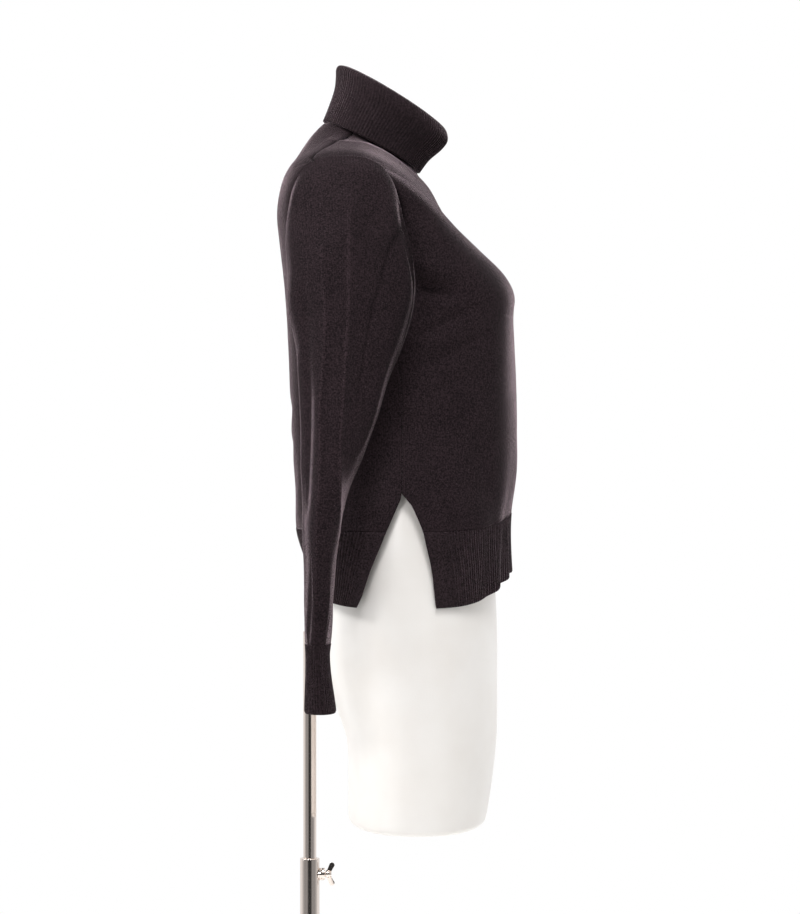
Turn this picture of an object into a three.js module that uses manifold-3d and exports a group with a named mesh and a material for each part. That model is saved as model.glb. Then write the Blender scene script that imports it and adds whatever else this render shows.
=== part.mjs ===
// Turtleneck sweater on a limbless dress form with a metal stand.
// Millimetres, +Z up. The front of the sweater faces -Y and the wearer's right side is -X.
// The origin is on the floor, under the middle of the whole.
import * as THREE from 'three';
import { mergeVertices } from 'three/addons/utils/BufferGeometryUtils.js';
import Module from 'manifold-3d';

const wasm = await Module();
wasm.setup();

const { PI, cos, sin, abs, sign, sqrt, exp, min, max } = Math;

// Driving sizes
const clothThickness = 2.5;
const seamGap = 0.6;
const armholeGap = 1;
const fitGap = 0.3;
const ribDepth = 0.9;
const collarRibs = 108;
const frontWeltRibs = 100;
const backWeltRibs = 80;
const cuffRibs = 44;
const plainBand = 0.05;

const collarLean = 26 * PI / 180;
const collarBase = { y: 31.4, z: 1395 };

const baseRadius = 190;
const baseThickness = 6;
const poleY = 101;
const rodRadius = 7.4;
const tubeRadius = 11;
const boreRadius = 7.9;
const tubeMouthZ = 598;
const rodEndZ = 250;
const rodTopZ = 852;
const bracketLowZ = 806;
const bracketTopZ = 842;
const bracketWidth = 40;
const screwZ = 580;
const bossRadius = 7;
const bossLength = 6;
const shankRadius = 3;

// Turns rows of numbers into objects that have the named columns.
function table(columns, rows) {
  return rows.map((row) => Object.fromEntries(columns.map((name, i) => [name, row[i]])));
}

const ringColumns = [
  'frontZ', 'frontY', 'backZ', 'backY', 'halfWidth', 'sideY', 'sideZ', 'frontSquare', 'backSquare', 'dish',
];

// Outer face of the sweater's body, one ring a row, from the hem up to the neckline.
const bodyRings = table(ringColumns, [
  [919, -121.5, 900, 97, 171, 3, 885.5, 2.2, 2.2, 5],
  [953, -121.5, 934, 106.5, 171, 2, 926, 2.2, 2.2, 5],
  [985, -124, 968, 116.5, 168, 0, 967, 2.25, 2.2, 5],
  [1030, -131, 1015, 118, 158, -2, 1018, 2.3, 2.3, 4],
  [1083, -131, 1070, 121, 151, -2, 1075, 2.35, 2.35, 3],
  [1140, -129, 1132, 124.5, 153, 0, 1135, 2.5, 2.5, 2],
  [1190, -128, 1190, 126.3, 160, 12, 1188, 2.7, 2.8, 2],
  [1222, -129.5, 1234, 129, 166, 28, 1226, 2.75, 3.1, 2],
  [1247, -117.5, 1276, 133, 172, 42, 1268, 2.6, 3.4, 2],
  [1268, -93.5, 1312, 135.5, 180, 52, 1314, 2.45, 3.5, 2],
  [1285, -72, 1340, 131.5, 187, 58, 1350, 2.3, 3.3, 2],
  [1302, -56.5, 1360, 125.5, 168, 58, 1370, 2.2, 2.9, 2],
  [1320, -47.5, 1380, 115, 132, 53, 1382, 2.1, 2.4, 1.8],
  [1345, -35, 1403, 101, 92, 42, 1389, 2.05, 2.1, 1.4],
]);
const hemRow = 0;
const weltRow = 2;
const neckRow = 15;

// Rings around the leaning axis of the neck: how high and how far from it they are in front
// and at the back, and their half width.
const neckColumns = ['frontHeight', 'frontDepth', 'backHeight', 'backDepth', 'width'];

// Last rings of the body's cloth, which pass under the folded collar up to its seam.
const neckSeamRings = table(neckColumns, [
  [-6, 60.2, -3, 60.2, 63.2],
  [5, 52.5, 6, 52.5, 55.5],
]);

// Side edges of the front and the back: the slit, then the side seam up to the armhole.
const sideEdges = table(['row', 'frontY', 'backY'], [
  [0, -39, 48],
  [1, -35, 33],
  [2, -25, 15],
  [2.45, -16, 5],
  [2.8, -7, -2.5],
]);
const slitTopRow = 2.8;

// Armhole seam, from its lowest point up to the end of the shoulder seam.
const armholeEdges = table(['row', 'frontY', 'backY'], [
  [6.3, 27, 27],
  [6.42, 17, 52],
  [6.7, 10, 75],
  [7.15, 6, 93],
  [7.7, 2, 105],
  [8.3, -2, 112],
  [8.9, -3, 114],
  [9.45, 2, 112],
  [9.85, 11, 107],
  [10.12, 24, 102],
  [10.3, 40, 98],
  [10.42, 58, 95],
  [10.5, 75, 92.5],
  [10.55, 91, 91],
]);
const shoulderRows = [11, 11.6, 12.3, 13.1, 14];
const lowerRows = [2, 2.25, 2.55, 2.8, 3.4, 4.1, 4.8, 5.4, 5.9];
const shoulderSeamAngle = 113 * PI / 180;

// Rings of a sleeve from the armhole down: its inner, outer, front and back lines.
const sleeveRings = table(['inX', 'inZ', 'outX', 'outZ', 'frontY', 'backY', 'squareness'], [
  [171, 1196, 188, 1362, -1, 119, 2.3],
  [173, 1184, 204, 1345, -6, 121, 2.3],
  [173, 1170, 222, 1311, -15, 120, 2.2],
  [172, 1152, 234, 1262, -13, 117, 2.1],
  [171, 1130, 237, 1204, -2, 110, 2],
  [169, 1104, 238, 1152, 12, 107, 2],
  [168, 1072, 240, 1104, 25, 104, 2],
  [169, 1036, 244, 1056, 39, 102.5, 2],
  [171, 1000, 249, 1010, 55, 101, 2.1],
  [173, 962, 254, 966, 65, 100.5, 2.2],
  [175, 918, 257, 920, 69, 100, 2.3],
  [180, 880, 255, 880, 70, 100, 2.3],
  [190, 852, 250, 852, 73, 98, 2.3],
  [193, 838, 249, 838, 74, 97.5, 2.3],
  [191, 810, 251, 810, 71, 99, 2.3],
  [188, 781, 253, 780, 67, 100, 2.3],
]);
const cuffTopRing = 12;
const sleeveSteps = [0, 0.6, 1.3, 2, 3, 4, 5, 6, 7, 8, 8.8, 9.6, 10.4, 11.2, 12];
const cuffSteps = [12, 13, 14, 15];

// Folds raised along a sleeve. The angle starts at the inner line and turns to the front.
const sleeveFolds = table(['fromRing', 'toRing', 'fromAngle', 'toAngle', 'width', 'height'], [
  [1.5, 11.5, 172, 128, 13, 5],
  [2.5, 11.5, 222, 205, 13, 4],
  [1.2, 7, 122, 92, 12, -4.5],
  [3, 10, 20, 40, 14, 4],
  [4, 11, 330, 318, 14, -4],
]);

// Flutes of the front hem, by their angle from the front centre.
const hemFlutes = table(['angle', 'width', 'height'], [
  [6, 5, 3.2],
  [20, 5.5, 2.6],
  [35, 6, 1.8],
]);

// Outer face of the dress form, from its flat foot up to the base of its neck.
const formRings = table(ringColumns, [
  [640, -88, 640, 50, 144, -18, 640, 2.3, 2.3, 2],
  [643, -93.5, 643, 55.5, 148.5, -18, 643, 2.3, 2.3, 2],
  [652, -97, 652, 58, 151.5, -18, 652, 2.3, 2.3, 2],
  [690, -103, 690, 58, 156, -18, 690, 2.3, 2.3, 2],
  [732, -107.5, 732, 59.5, 159.5, -17, 732, 2.3, 2.3, 2],
  [768, -108.6, 768, 71, 161.5, -15, 768, 2.25, 2.25, 2],
  [806, -108.6, 806, 83, 162.5, -13, 806, 2.2, 2.2, 2],
  [842, -108.6, 842, 88, 162, -12, 842, 2.2, 2.2, 2],
  [890, -107, 890, 84.5, 157, -11, 890, 2.2, 2.2, 2],
  [940, -102, 940, 79, 146, -9, 940, 2.2, 2.2, 2],
  [990, -92, 990, 69, 130, -7, 990, 2.2, 2.2, 2],
  [1030, -87, 1030, 64, 121, -5, 1030, 2.25, 2.25, 2],
  [1080, -92, 1080, 74, 126, -2, 1080, 2.35, 2.35, 2],
  [1130, -101, 1130, 92, 135, 2, 1130, 2.5, 2.5, 2],
  [1180, -110, 1180, 108, 143, 10, 1180, 2.7, 2.8, 2],
  [1214, -114, 1228, 116, 148, 26, 1222, 2.7, 3, 2],
  [1238, -105, 1270, 122, 154, 40, 1262, 2.5, 3.2, 2],
  [1258, -87, 1304, 126, 163, 50, 1305, 2.4, 3.3, 2],
  [1276, -68, 1331, 124, 169, 56, 1340, 2.3, 3.1, 2],
  [1294, -51.5, 1351, 118.5, 152, 57, 1370, 2.2, 2.8, 2],
  [1312, -41, 1371, 108, 124, 52, 1380, 2.1, 2.4, 1.8],
  [1339, -26, 1393, 92, 83, 42, 1386, 2.05, 2.1, 1.4],
]);
const neckHeights = table(['height', 'radius'], [
  [-9, 56],
  [5, 47.5],
  [20, 45.5],
  [38, 46],
  [43, 43],
]);

const materials = {
  jersey: new THREE.MeshStandardMaterial({ color: 0x2e272a, roughness: 0.9, metalness: 0 }),
  rib: new THREE.MeshStandardMaterial({ color: 0x2b2427, roughness: 0.92, metalness: 0 }),
  form: new THREE.MeshStandardMaterial({ color: 0xf4f1ee, roughness: 0.55, metalness: 0 }),
  chrome: new THREE.MeshStandardMaterial({ color: 0xb9b4b0, roughness: 0.15, metalness: 1 }),
  foot: new THREE.MeshStandardMaterial({ color: 0xa9a5a1, roughness: 0.3, metalness: 1 }),
};

const whole = new THREE.Group();

// One closed body, built from sheets of points that are zipped together along their edges.
class Shell {
  points = [];
  faces = [];

  // Adds rows of points and gives back their numbers in the same rows.
  add(rows) {
    return rows.map((row) => row.map((point) => this.points.push(point) - 1));
  }

  sheet(rows, inward = false) {
    for (let r = 0; r + 1 < rows.length; r++) {
      for (let c = 0; c + 1 < rows[r].length; c++) {
        const corner = [rows[r][c], rows[r][c + 1], rows[r + 1][c + 1], rows[r + 1][c]];
        if (inward) corner.reverse();
        this.faces.push([corner[0], corner[1], corner[2]], [corner[0], corner[2], corner[3]]);
      }
    }
  }

  // Share of an edge's length that lies before each of its points.
  shares(edge) {
    const reached = [0];
    for (let k = 1; k < edge.length; k++) {
      reached.push(reached[k - 1] + this.points[edge[k]].distanceTo(this.points[edge[k - 1]]));
    }
    return reached.map((length) => length / reached.at(-1));
  }

  // Joins two edges that run side by side, which may have different numbers of points.
  zip(outer, inner) {
    const outerShares = this.shares(outer);
    const innerShares = this.shares(inner);
    let i = 0;
    let j = 0;
    while (i < outer.length - 1 || j < inner.length - 1) {
      if (j === inner.length - 1 || (i < outer.length - 1 && outerShares[i + 1] <= innerShares[j + 1])) {
        this.faces.push([outer[i + 1], outer[i], inner[j]]);
        i++;
      } else {
        this.faces.push([inner[j], inner[j + 1], outer[i]]);
        j++;
      }
    }
  }

  geometry() {
    const flat = this.points.flatMap((point) => [point.x, point.y, point.z]);
    const shape = new THREE.BufferGeometry();
    shape.setAttribute('position', new THREE.Float32BufferAttribute(flat, 3));
    shape.setIndex((this.volume() < 0 ? this.faces.map((face) => face.toReversed()) : this.faces).flat());
    return shape;
  }

  volume() {
    const [a, b, c] = [new THREE.Vector3(), new THREE.Vector3(), new THREE.Vector3()];
    return this.faces.reduce((sum, [i, j, k]) => {
      a.copy(this.points[i]);
      b.copy(this.points[j]);
      c.copy(this.points[k]);
      return sum + a.dot(b.cross(c)) / 6;
    }, 0);
  }
}

function place(name, shape, material) {
  const mesh = new THREE.Mesh(shape, material.clone());
  mesh.name = name;
  whole.add(mesh);
  return mesh;
}

// Smooth curve through the rows of a table, read at a row number that may be a fraction.
function between(rows, at) {
  const i = min(max(Math.floor(at), 0), rows.length - 2);
  const t = at - i;
  const near = [rows[max(i - 1, 0)], rows[i], rows[i + 1], rows[min(i + 2, rows.length - 1)]];
  const out = {};
  for (const name of Object.keys(rows[i])) {
    const [a, b, c, d] = near.map((row) => row[name]);
    const bend = (2 * a - 5 * b + 4 * c - d) * t + (3 * b - a - 3 * c + d) * t * t;
    out[name] = b + 0.5 * t * (c - a + bend);
  }
  return out;
}

// Point of a ring. The angle starts at the front centre and turns to the wearer's right.
function ringPoint(ring, angle) {
  const front = cos(angle) > 0;
  const power = 2 / (front ? ring.frontSquare : ring.backSquare);
  const across = sign(sin(angle)) * abs(sin(angle)) ** power;
  const along = abs(cos(angle)) ** power;
  const endY = front ? ring.frontY : ring.backY;
  const endZ = front ? ring.frontZ : ring.backZ;
  return new THREE.Vector3(
    -ring.halfWidth * across,
    ring.sideY + (endY - ring.sideY) * along,
    ring.sideZ + (endZ - ring.sideZ) * along ** ring.dish,
  );
}

// Ring around the leaning axis of the neck, from its place in front and at the back.
function neckRing({ frontHeight, frontDepth, backHeight, backDepth, width }) {
  const frontY = collarBase.y - frontHeight * sin(collarLean) - frontDepth * cos(collarLean);
  const frontZ = collarBase.z + frontHeight * cos(collarLean) - frontDepth * sin(collarLean);
  const backY = collarBase.y - backHeight * sin(collarLean) + backDepth * cos(collarLean);
  const backZ = collarBase.z + backHeight * cos(collarLean) + backDepth * sin(collarLean);
  return {
    frontZ,
    frontY,
    backZ,
    backY,
    halfWidth: width,
    sideY: (frontY + backY) / 2,
    sideZ: (frontZ + backZ) / 2,
    frontSquare: 2,
    backSquare: 2,
    dish: 1,
  };
}

// Round ring, the same height all round.
function evenNeckRing(height, radius) {
  return neckRing({
    frontHeight: height,
    frontDepth: radius,
    backHeight: height,
    backDepth: radius,
    width: radius,
  });
}

// Direction straight away from the neck's axis.
function fromNeck(angle) {
  return ringPoint(evenNeckRing(0, 1), angle).sub(ringPoint(evenNeckRing(0, 0), angle)).normalize();
}

const clothRings = [...bodyRings, ...neckSeamRings.map(neckRing)];

// How far the hem's flutes push the cloth out: full at the hem and gone above the welt.
function fluteHeight(row, angle) {
  const fade = max(0, 1 - row / (weltRow + 1)) ** 1.5;
  const turn = abs(angle > PI ? angle - 2 * PI : angle) * 180 / PI;
  return fade * hemFlutes.reduce((sum, f) => sum + f.height * exp(-(((turn - f.angle) / f.width) ** 2)), 0);
}

function plainBodyPoint(row, angle) {
  return ringPoint(between(clothRings, row), angle);
}

function outward(surface, u, v) {
  const step = 0.01;
  const alongU = surface(u + step, v).sub(surface(u - step, v));
  const alongV = surface(u, v + step).sub(surface(u, v - step));
  return alongU.cross(alongV).normalize();
}

function bodyNormal(row, angle) {
  const inside = min(max(row, 0.01), neckRow - 0.01);
  const side = PI / 2;
  const safe = abs(abs(angle) - side) < 0.02 ? angle + 0.02 : angle;
  return outward(plainBodyPoint, inside, safe);
}

function bodyPoint(row, angle, raised = 0) {
  const lift = fluteHeight(row, angle) + raised;
  return plainBodyPoint(row, angle).addScaledVector(bodyNormal(row, angle), lift);
}

// Angle at which the body ring passes a given depth on the wearer's right side.
function angleAt(row, y) {
  const ring = between(clothRings, row);
  const front = y < ring.sideY;
  const along = (y - ring.sideY) / ((front ? ring.frontY : ring.backY) - ring.sideY);
  const cosine = max(along, 0) ** ((front ? ring.frontSquare : ring.backSquare) / 2);
  return Math.acos(front ? cosine : -cosine);
}

// Angles of the front's and the back's side edge at a row of the body.
function edgeAngles(row) {
  const side = PI / 2;
  const armhole = armholeEdges.find((edge) => edge.row === row);
  if (armhole) return [angleAt(row, armhole.frontY), angleAt(row, armhole.backY)];
  if (row > armholeEdges.at(-1).row) return [shoulderSeamAngle, shoulderSeamAngle];
  if (row >= slitTopRow) return [side, side];
  const after = sideEdges.findIndex((edge) => edge.row > row);
  const [low, high] = [sideEdges[after - 1], sideEdges[after]];
  const t = (row - low.row) / (high.row - low.row);
  const mix = (name) => low[name] + (high[name] - low[name]) * t;
  return [angleAt(row, mix('frontY')), angleAt(row, mix('backY'))];
}

// Angle half a seam's gap beside an edge, measured square to the edge. The way is 1 or -1.
function besideSeam(row, edge, way) {
  const rowStep = 0.05;
  const here = plainBodyPoint(row, edge);
  const seamWay = plainBodyPoint(row + rowStep, edge).sub(plainBodyPoint(row - rowStep, edge)).normalize();
  let step = seamGap / 2 / between(clothRings, row).halfWidth;
  for (let round = 0; round < 5; round++) {
    const away = plainBodyPoint(row, edge + way * step).sub(here).cross(seamWay).length();
    step *= seamGap / 2 / away;
  }
  return edge + way * step;
}

// Inward step that two walls share at a seam, so that their edges face each other.
function mitre(normalA, normalB) {
  const leastShare = 0.5;
  const both = normalA.clone().add(normalB).normalize();
  return both.multiplyScalar(-clothThickness / max(both.dot(normalA), leastShare));
}

const armholeLine = [
  ...armholeEdges.map((edge) => ({ row: edge.row, angle: angleAt(edge.row, edge.frontY) })),
  ...armholeEdges.slice(1, -1).reverse().map((edge) => (
    { row: edge.row, angle: angleAt(edge.row, edge.backY) }
  )),
];

// Point of a sleeve ring. The angle starts at the inner line and turns to the front.
function sleeveRingPoint(at, angle) {
  const ring = between(sleeveRings, at);
  const power = 2 / ring.squareness;
  const across = sign(cos(angle)) * abs(cos(angle)) ** power;
  const along = sign(sin(angle)) * abs(sin(angle)) ** power;
  const outer = (1 - across) / 2;
  return new THREE.Vector3(
    -(ring.inX + (ring.outX - ring.inX) * outer),
    (ring.frontY + ring.backY) / 2 - (ring.backY - ring.frontY) / 2 * along,
    ring.inZ + (ring.outZ - ring.inZ) * outer,
  );
}

function foldHeight(at, angle) {
  const turn = (angle * 180 / PI + 360) % 360;
  return sleeveFolds.reduce((sum, fold) => {
    if (at <= fold.fromRing || at >= fold.toRing) return sum;
    const t = (at - fold.fromRing) / (fold.toRing - fold.fromRing);
    const centre = fold.fromAngle + (fold.toAngle - fold.fromAngle) * t;
    const off = abs((turn - centre + 540) % 360 - 180);
    return sum + fold.height * sqrt(sin(PI * t)) * exp(-((off / fold.width) ** 2));
  }, 0);
}

function sleeveNormal(at, angle) {
  const inside = min(max(at, 0.01), sleeveRings.length - 1.01);
  const safe = abs(sin(2 * angle)) < 0.04 ? angle + 0.03 : angle;
  return outward(sleeveRingPoint, inside, safe).negate();
}

function sleevePoint(at, angle, raised = 0) {
  const lift = foldHeight(at, angle) + raised;
  return sleeveRingPoint(at, angle).addScaledVector(sleeveNormal(at, angle), lift);
}

// Column angles of a sleeve: where each point of the armhole seam meets its first ring.
const sleeveAngles = armholeLine.map((spot) => {
  const ring = sleeveRings[0];
  const point = plainBodyPoint(spot.row, spot.angle);
  const depth = (ring.frontY + ring.backY - 2 * point.y) / (ring.backY - ring.frontY);
  const height = (ring.inZ + ring.outZ - 2 * point.z) / (ring.outZ - ring.inZ);
  const straighten = (share) => sign(share) * abs(share) ** (ring.squareness / 2);
  const angle = Math.atan2(straighten(depth), straighten(height));
  return angle < 0 ? angle + 2 * PI : angle;
});

// The armhole seam as pairs of points: outer and inner edge, and the way across the seam.
const armholeSeam = armholeLine.map((spot, i) => {
  const n = armholeLine.length;
  const at = (k) => plainBodyPoint(armholeLine[(k + n) % n].row, armholeLine[(k + n) % n].angle);
  const outer = at(i);
  const seamWay = at(i + 1).sub(at(i - 1)).normalize();
  const start = sleevePoint(0, sleeveAngles[i]).sub(outer).normalize();
  const body = bodyNormal(spot.row, spot.angle);
  const sleeve = start.clone().cross(seamWay).normalize();
  const middle = at(0).add(at(armholeEdges.length - 1)).multiplyScalar(0.5);
  if (sleeve.dot(outer.clone().sub(middle)) < 0) sleeve.negate();
  const step = mitre(body, sleeve);
  const across = seamWay.clone().cross(step).normalize();
  if (across.dot(start) < 0) across.negate();
  return { outer, inner: outer.clone().add(step), across };
});

function seamIndex(row, isFront) {
  const k = armholeEdges.findIndex((edge) => edge.row === row);
  if (k < 0) return -1;
  const last = armholeEdges.length - 1;
  return isFront || k === 0 || k === last ? k : 2 * last - k;
}

const panelRows = [...lowerRows, ...armholeEdges.map((edge) => edge.row), ...shoulderRows, neckRow];

// Outer and inner points of a panel on one row, from its left edge to its right edge.
function panelRow(row, isFront, columns) {
  const [frontEdge, backEdge] = edgeAngles(row);
  const reach = isFront ? besideSeam(row, frontEdge, -1) : PI - besideSeam(row, backEdge, 1);
  const seam = seamIndex(row, isFront);
  const outerRow = [];
  const innerRow = [];
  for (let c = 0; c <= columns; c++) {
    const share = 2 * c / columns - 1;
    const turn = share * reach;
    const angle = isFront ? turn : PI - turn;
    const outer = bodyPoint(row, angle);
    const normal = bodyNormal(row, angle);
    const inner = outer.clone().addScaledVector(normal, -clothThickness);
    if (row === neckRow) inner.copy(outer).add(mitre(normal, fromNeck(angle)));
    if (abs(share) === 1 && seam >= 0) {
      const edge = armholeSeam[seam];
      const flip = angle < 0 || angle > PI ? -1 : 1;
      const mirror = new THREE.Vector3(flip, 1, 1);
      const ends = seam === 0 || seam === armholeEdges.length - 1;
      const back = edge.across.clone().multiplyScalar(-armholeGap / 2);
      const slip = ends ? outer.clone().sub(edge.outer.clone().multiply(mirror)) : new THREE.Vector3();
      outer.copy(edge.outer).add(back).multiply(mirror).add(slip);
      inner.copy(edge.inner).add(back).multiply(mirror).add(slip);
    }
    outerRow.push(outer);
    innerRow.push(inner);
  }
  return [outerRow, innerRow];
}

// A wall that is open on all four sides.
function openWall(outerRows, innerRows) {
  const shell = new Shell();
  const outer = shell.add(outerRows);
  const inner = shell.add(innerRows);
  shell.sheet(outer);
  shell.sheet(inner, true);
  const right = (rows) => rows.map((row) => row.at(-1));
  const left = (rows) => rows.map((row) => row[0]).reverse();
  shell.zip(outer[0], inner[0]);
  shell.zip(right(outer), right(inner));
  shell.zip(outer.at(-1).toReversed(), inner.at(-1).toReversed());
  shell.zip(left(outer), left(inner));
  return shell.geometry();
}

// A wall that closes on itself and is open at its two ends.
function tubeWall(outerRows, innerRows) {
  const shell = new Shell();
  const wrap = (rows) => rows.map((row) => [...row, row[0]]);
  const outer = wrap(shell.add(outerRows));
  const inner = wrap(shell.add(innerRows));
  shell.sheet(outer);
  shell.sheet(inner, true);
  shell.zip(outer[0], inner[0]);
  shell.zip(outer.at(-1).toReversed(), inner.at(-1).toReversed());
  return shell.geometry();
}

// A solid that is closed by a flat or domed cap at both ends.
function cappedBody(rows, lowCap, highCap) {
  const shell = new Shell();
  const wrapped = shell.add(rows).map((row) => [...row, row[0]]);
  const [low, high] = shell.add([[lowCap, highCap]])[0];
  shell.sheet(wrapped);
  for (let c = 0; c + 1 < wrapped[0].length; c++) {
    shell.faces.push([wrapped[0][c + 1], wrapped[0][c], low]);
    shell.faces.push([wrapped.at(-1)[c], wrapped.at(-1)[c + 1], high]);
  }
  return shell.geometry();
}

function panel(isFront, columns) {
  const pairs = panelRows.map((row) => panelRow(row, isFront, columns));
  const shifted = pairs.map((pair) => pair.map((points) => points.map((point) => point.clone())));
  const lift = new THREE.Vector3(0, 0, seamGap / 2);
  shifted[0].forEach((points) => points.forEach((point) => point.add(lift)));
  const down = new THREE.Vector3(0, sin(collarLean), -cos(collarLean)).multiplyScalar(seamGap / 2);
  shifted.at(-1).forEach((points) => points.forEach((point) => point.add(down)));
  return openWall(shifted.map((pair) => pair[0]), shifted.map((pair) => pair[1]));
}

// Ribs stand out and in by turns. A plain band is left beside each slit.
function ribLift(index, count) {
  const share = index / count;
  if (share < plainBand || share > 1 - plainBand) return 0;
  return (index % 2 ? -0.5 : 0.5) * ribDepth;
}

function welt(isFront, ribs, innerColumns) {
  const rows = [hemRow, (hemRow + weltRow) / 2, weltRow];
  const drop = (row) => (row === weltRow ? -seamGap / 2 : 0);
  const line = (row, columns, pointAt) => {
    const [frontEdge, backEdge] = edgeAngles(row);
    const reach = isFront ? frontEdge : PI - backEdge;
    return Array.from({ length: columns + 1 }, (_, c) => {
      const turn = (2 * c / columns - 1) * reach;
      const point = pointAt(row, isFront ? turn : PI - turn, c);
      point.z += drop(row);
      return point;
    });
  };
  const ribbed = (row, angle, c) => bodyPoint(row, angle, ribLift(c, 2 * ribs));
  const plain = (row, angle) => bodyPoint(row, angle, -clothThickness);
  const outer = rows.map((row) => line(row, 2 * ribs, ribbed));
  const inner = rows.map((row) => line(row, innerColumns, plain));
  return openWall(outer, inner);
}

function mirrored(shape) {
  const copy = shape.clone();
  copy.scale(-1, 1, 1);
  const index = Array.from(copy.getIndex().array);
  for (let i = 0; i < index.length; i += 3) [index[i], index[i + 1]] = [index[i + 1], index[i]];
  copy.setIndex(index);
  return copy;
}

function sleeve() {
  const step = seamGap / 2;
  const start = (name) => armholeSeam.map((edge) => (
    edge[name].clone().addScaledVector(edge.across, armholeGap / 2)
  ));
  const line = (at, raised) => sleeveAngles.map((angle) => {
    const point = sleevePoint(at, angle, raised);
    if (at === cuffTopRing) point.z += step;
    return point;
  });
  const outer = [start('outer'), ...sleeveSteps.map((at) => line(at, 0))];
  const inner = [start('inner'), ...sleeveSteps.map((at) => line(at, -clothThickness))];
  return tubeWall(outer, inner);
}

function cuff() {
  const line = (at, columns, raisedAt) => Array.from({ length: columns }, (_, c) => {
    const point = sleevePoint(at, 2 * PI * c / columns, raisedAt(c));
    if (at === cuffTopRing) point.z -= seamGap / 2;
    return point;
  });
  const rib = (c) => (c % 2 ? -0.5 : 0.5) * ribDepth;
  const outer = cuffSteps.map((at) => line(at, 2 * cuffRibs, rib));
  const inner = cuffSteps.map((at) => line(at, sleeveAngles.length, () => -clothThickness));
  return tubeWall(outer, inner);
}

// Rings of the folded collar: its outer layer from the lower edge up to the rim, its inside
// from the rim down, and the faces between the two layers from the seam up and down again.
const collarOuter = table(neckColumns, [
  [-3, 61.3, 1, 60.8, 64.8],
  [20, 66.5, 26, 63, 66.6],
  [40, 72.4, 50, 68.5, 70.2],
  [50, 67.5, 62.5, 72, 68.5],
  [54, 60.5, 65.5, 67, 63],
]);
const collarInner = table(neckColumns, [
  [52, 56.5, 63, 61, 58.5],
  [34, 54, 38, 55, 56.5],
  [14, 51, 14, 51, 54],
]);
const collarUnder = table(neckColumns, [
  [14, 53.6, 14, 53.6, 56.6],
  [34, 56.7, 38, 57.7, 59.2],
  [48.5, 63.5, 60, 66.6, 64],
  [34, 67.6, 38, 62, 65.4],
  [-3, 58.7, 1, 58.2, 62.2],
]);

function collar(frontColumns, backColumns) {
  const turns = (count, middle, reach) => (
    Array.from({ length: count }, (_, c) => middle + (2 * c / count - 1) * reach)
  );
  const plainAngles = [
    ...turns(frontColumns, 0, shoulderSeamAngle),
    ...turns(backColumns, PI, PI - shoulderSeamAngle),
  ];
  const ribAngles = Array.from({ length: 2 * collarRibs }, (_, c) => PI * c / collarRibs - shoulderSeamAngle);
  const up = new THREE.Vector3(0, -sin(collarLean), cos(collarLean));
  const ring = (row, angles, ribbed) => angles.map((angle, c) => {
    const lift = ribbed ? (c % 2 ? -0.5 : 0.5) * ribDepth : 0;
    return ringPoint(neckRing(row), angle).addScaledVector(fromNeck(angle), lift);
  });
  const seamOuter = plainAngles.map((angle) => (
    ringPoint(clothRings[neckRow], angle).addScaledVector(up, seamGap / 2)
  ));
  const seamInner = plainAngles.map((angle, c) => (
    seamOuter[c].clone().add(mitre(bodyNormal(neckRow, angle), fromNeck(angle)))
  ));
  const shell = new Shell();
  const wrap = (rows) => rows.map((row) => [...row, row[0]]);
  const ribbed = wrap(shell.add(collarOuter.map((row) => ring(row, ribAngles, true))));
  const plain = wrap(shell.add([
    ...collarInner.map((row) => ring(row, plainAngles, false)),
    seamInner,
    seamOuter,
    ...collarUnder.map((row) => ring(row, plainAngles, false)),
  ]));
  shell.sheet(ribbed);
  shell.sheet(plain);
  shell.zip(plain[0], ribbed.at(-1));
  shell.zip(ribbed[0], plain.at(-1));
  return shell.geometry();
}

function dressForm(columns) {
  const angles = Array.from({ length: columns }, (_, c) => 2 * PI * c / columns);
  const rings = [...formRings, ...neckHeights.map((row) => evenNeckRing(row.height, row.radius))];
  const rows = rings.map((ring) => angles.map((angle) => ringPoint(ring, angle)));
  const foot = new THREE.Vector3(0, formRings[0].sideY, formRings[0].sideZ);
  const dome = 2;
  const top = ringPoint(evenNeckRing(neckHeights.at(-1).height + dome, 0), 0);
  return cappedBody(rows, foot, top);
}

// Solid turned about +Z from a profile of radius and height pairs.
function turned(profile, segments) {
  const lathe = new THREE.LatheGeometry(profile.map(([r, z]) => new THREE.Vector2(r, z)), segments);
  lathe.rotateX(PI / 2);
  return welded(lathe);
}

function welded(shape) {
  shape.deleteAttribute('normal');
  shape.deleteAttribute('uv');
  return mergeVertices(shape, 1e-4);
}

function solid(shape) {
  const mesh = new wasm.Mesh({
    numProp: 3,
    vertProperties: new Float32Array(shape.getAttribute('position').array),
    triVerts: new Uint32Array(shape.getIndex().array),
  });
  return new wasm.Manifold(mesh);
}

function fromSolid(body) {
  const mesh = body.getMesh();
  const shape = new THREE.BufferGeometry();
  shape.setAttribute('position', new THREE.BufferAttribute(mesh.vertProperties, 3));
  shape.setIndex(new THREE.BufferAttribute(mesh.triVerts, 1));
  return shape;
}

function basePlate() {
  const edge = 1.5;
  return turned([
    [0, 0],
    [baseRadius - edge, 0],
    [baseRadius, edge],
    [baseRadius, baseThickness - edge],
    [baseRadius - edge, baseThickness],
    [0, baseThickness],
  ], 56);
}

function standTube() {
  const flangeRadius = 24;
  const flangeThickness = 5;
  const low = baseThickness + fitGap;
  const lip = 0.8;
  return turned([
    [boreRadius, low],
    [flangeRadius - 1, low],
    [flangeRadius, low + 1],
    [flangeRadius, low + flangeThickness - 1],
    [flangeRadius - 1, low + flangeThickness],
    [tubeRadius, low + flangeThickness],
    [tubeRadius, tubeMouthZ - lip],
    [tubeRadius - lip, tubeMouthZ],
    [boreRadius, tubeMouthZ],
    [boreRadius, low],
  ], 28).translate(0, poleY, 0);
}

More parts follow.
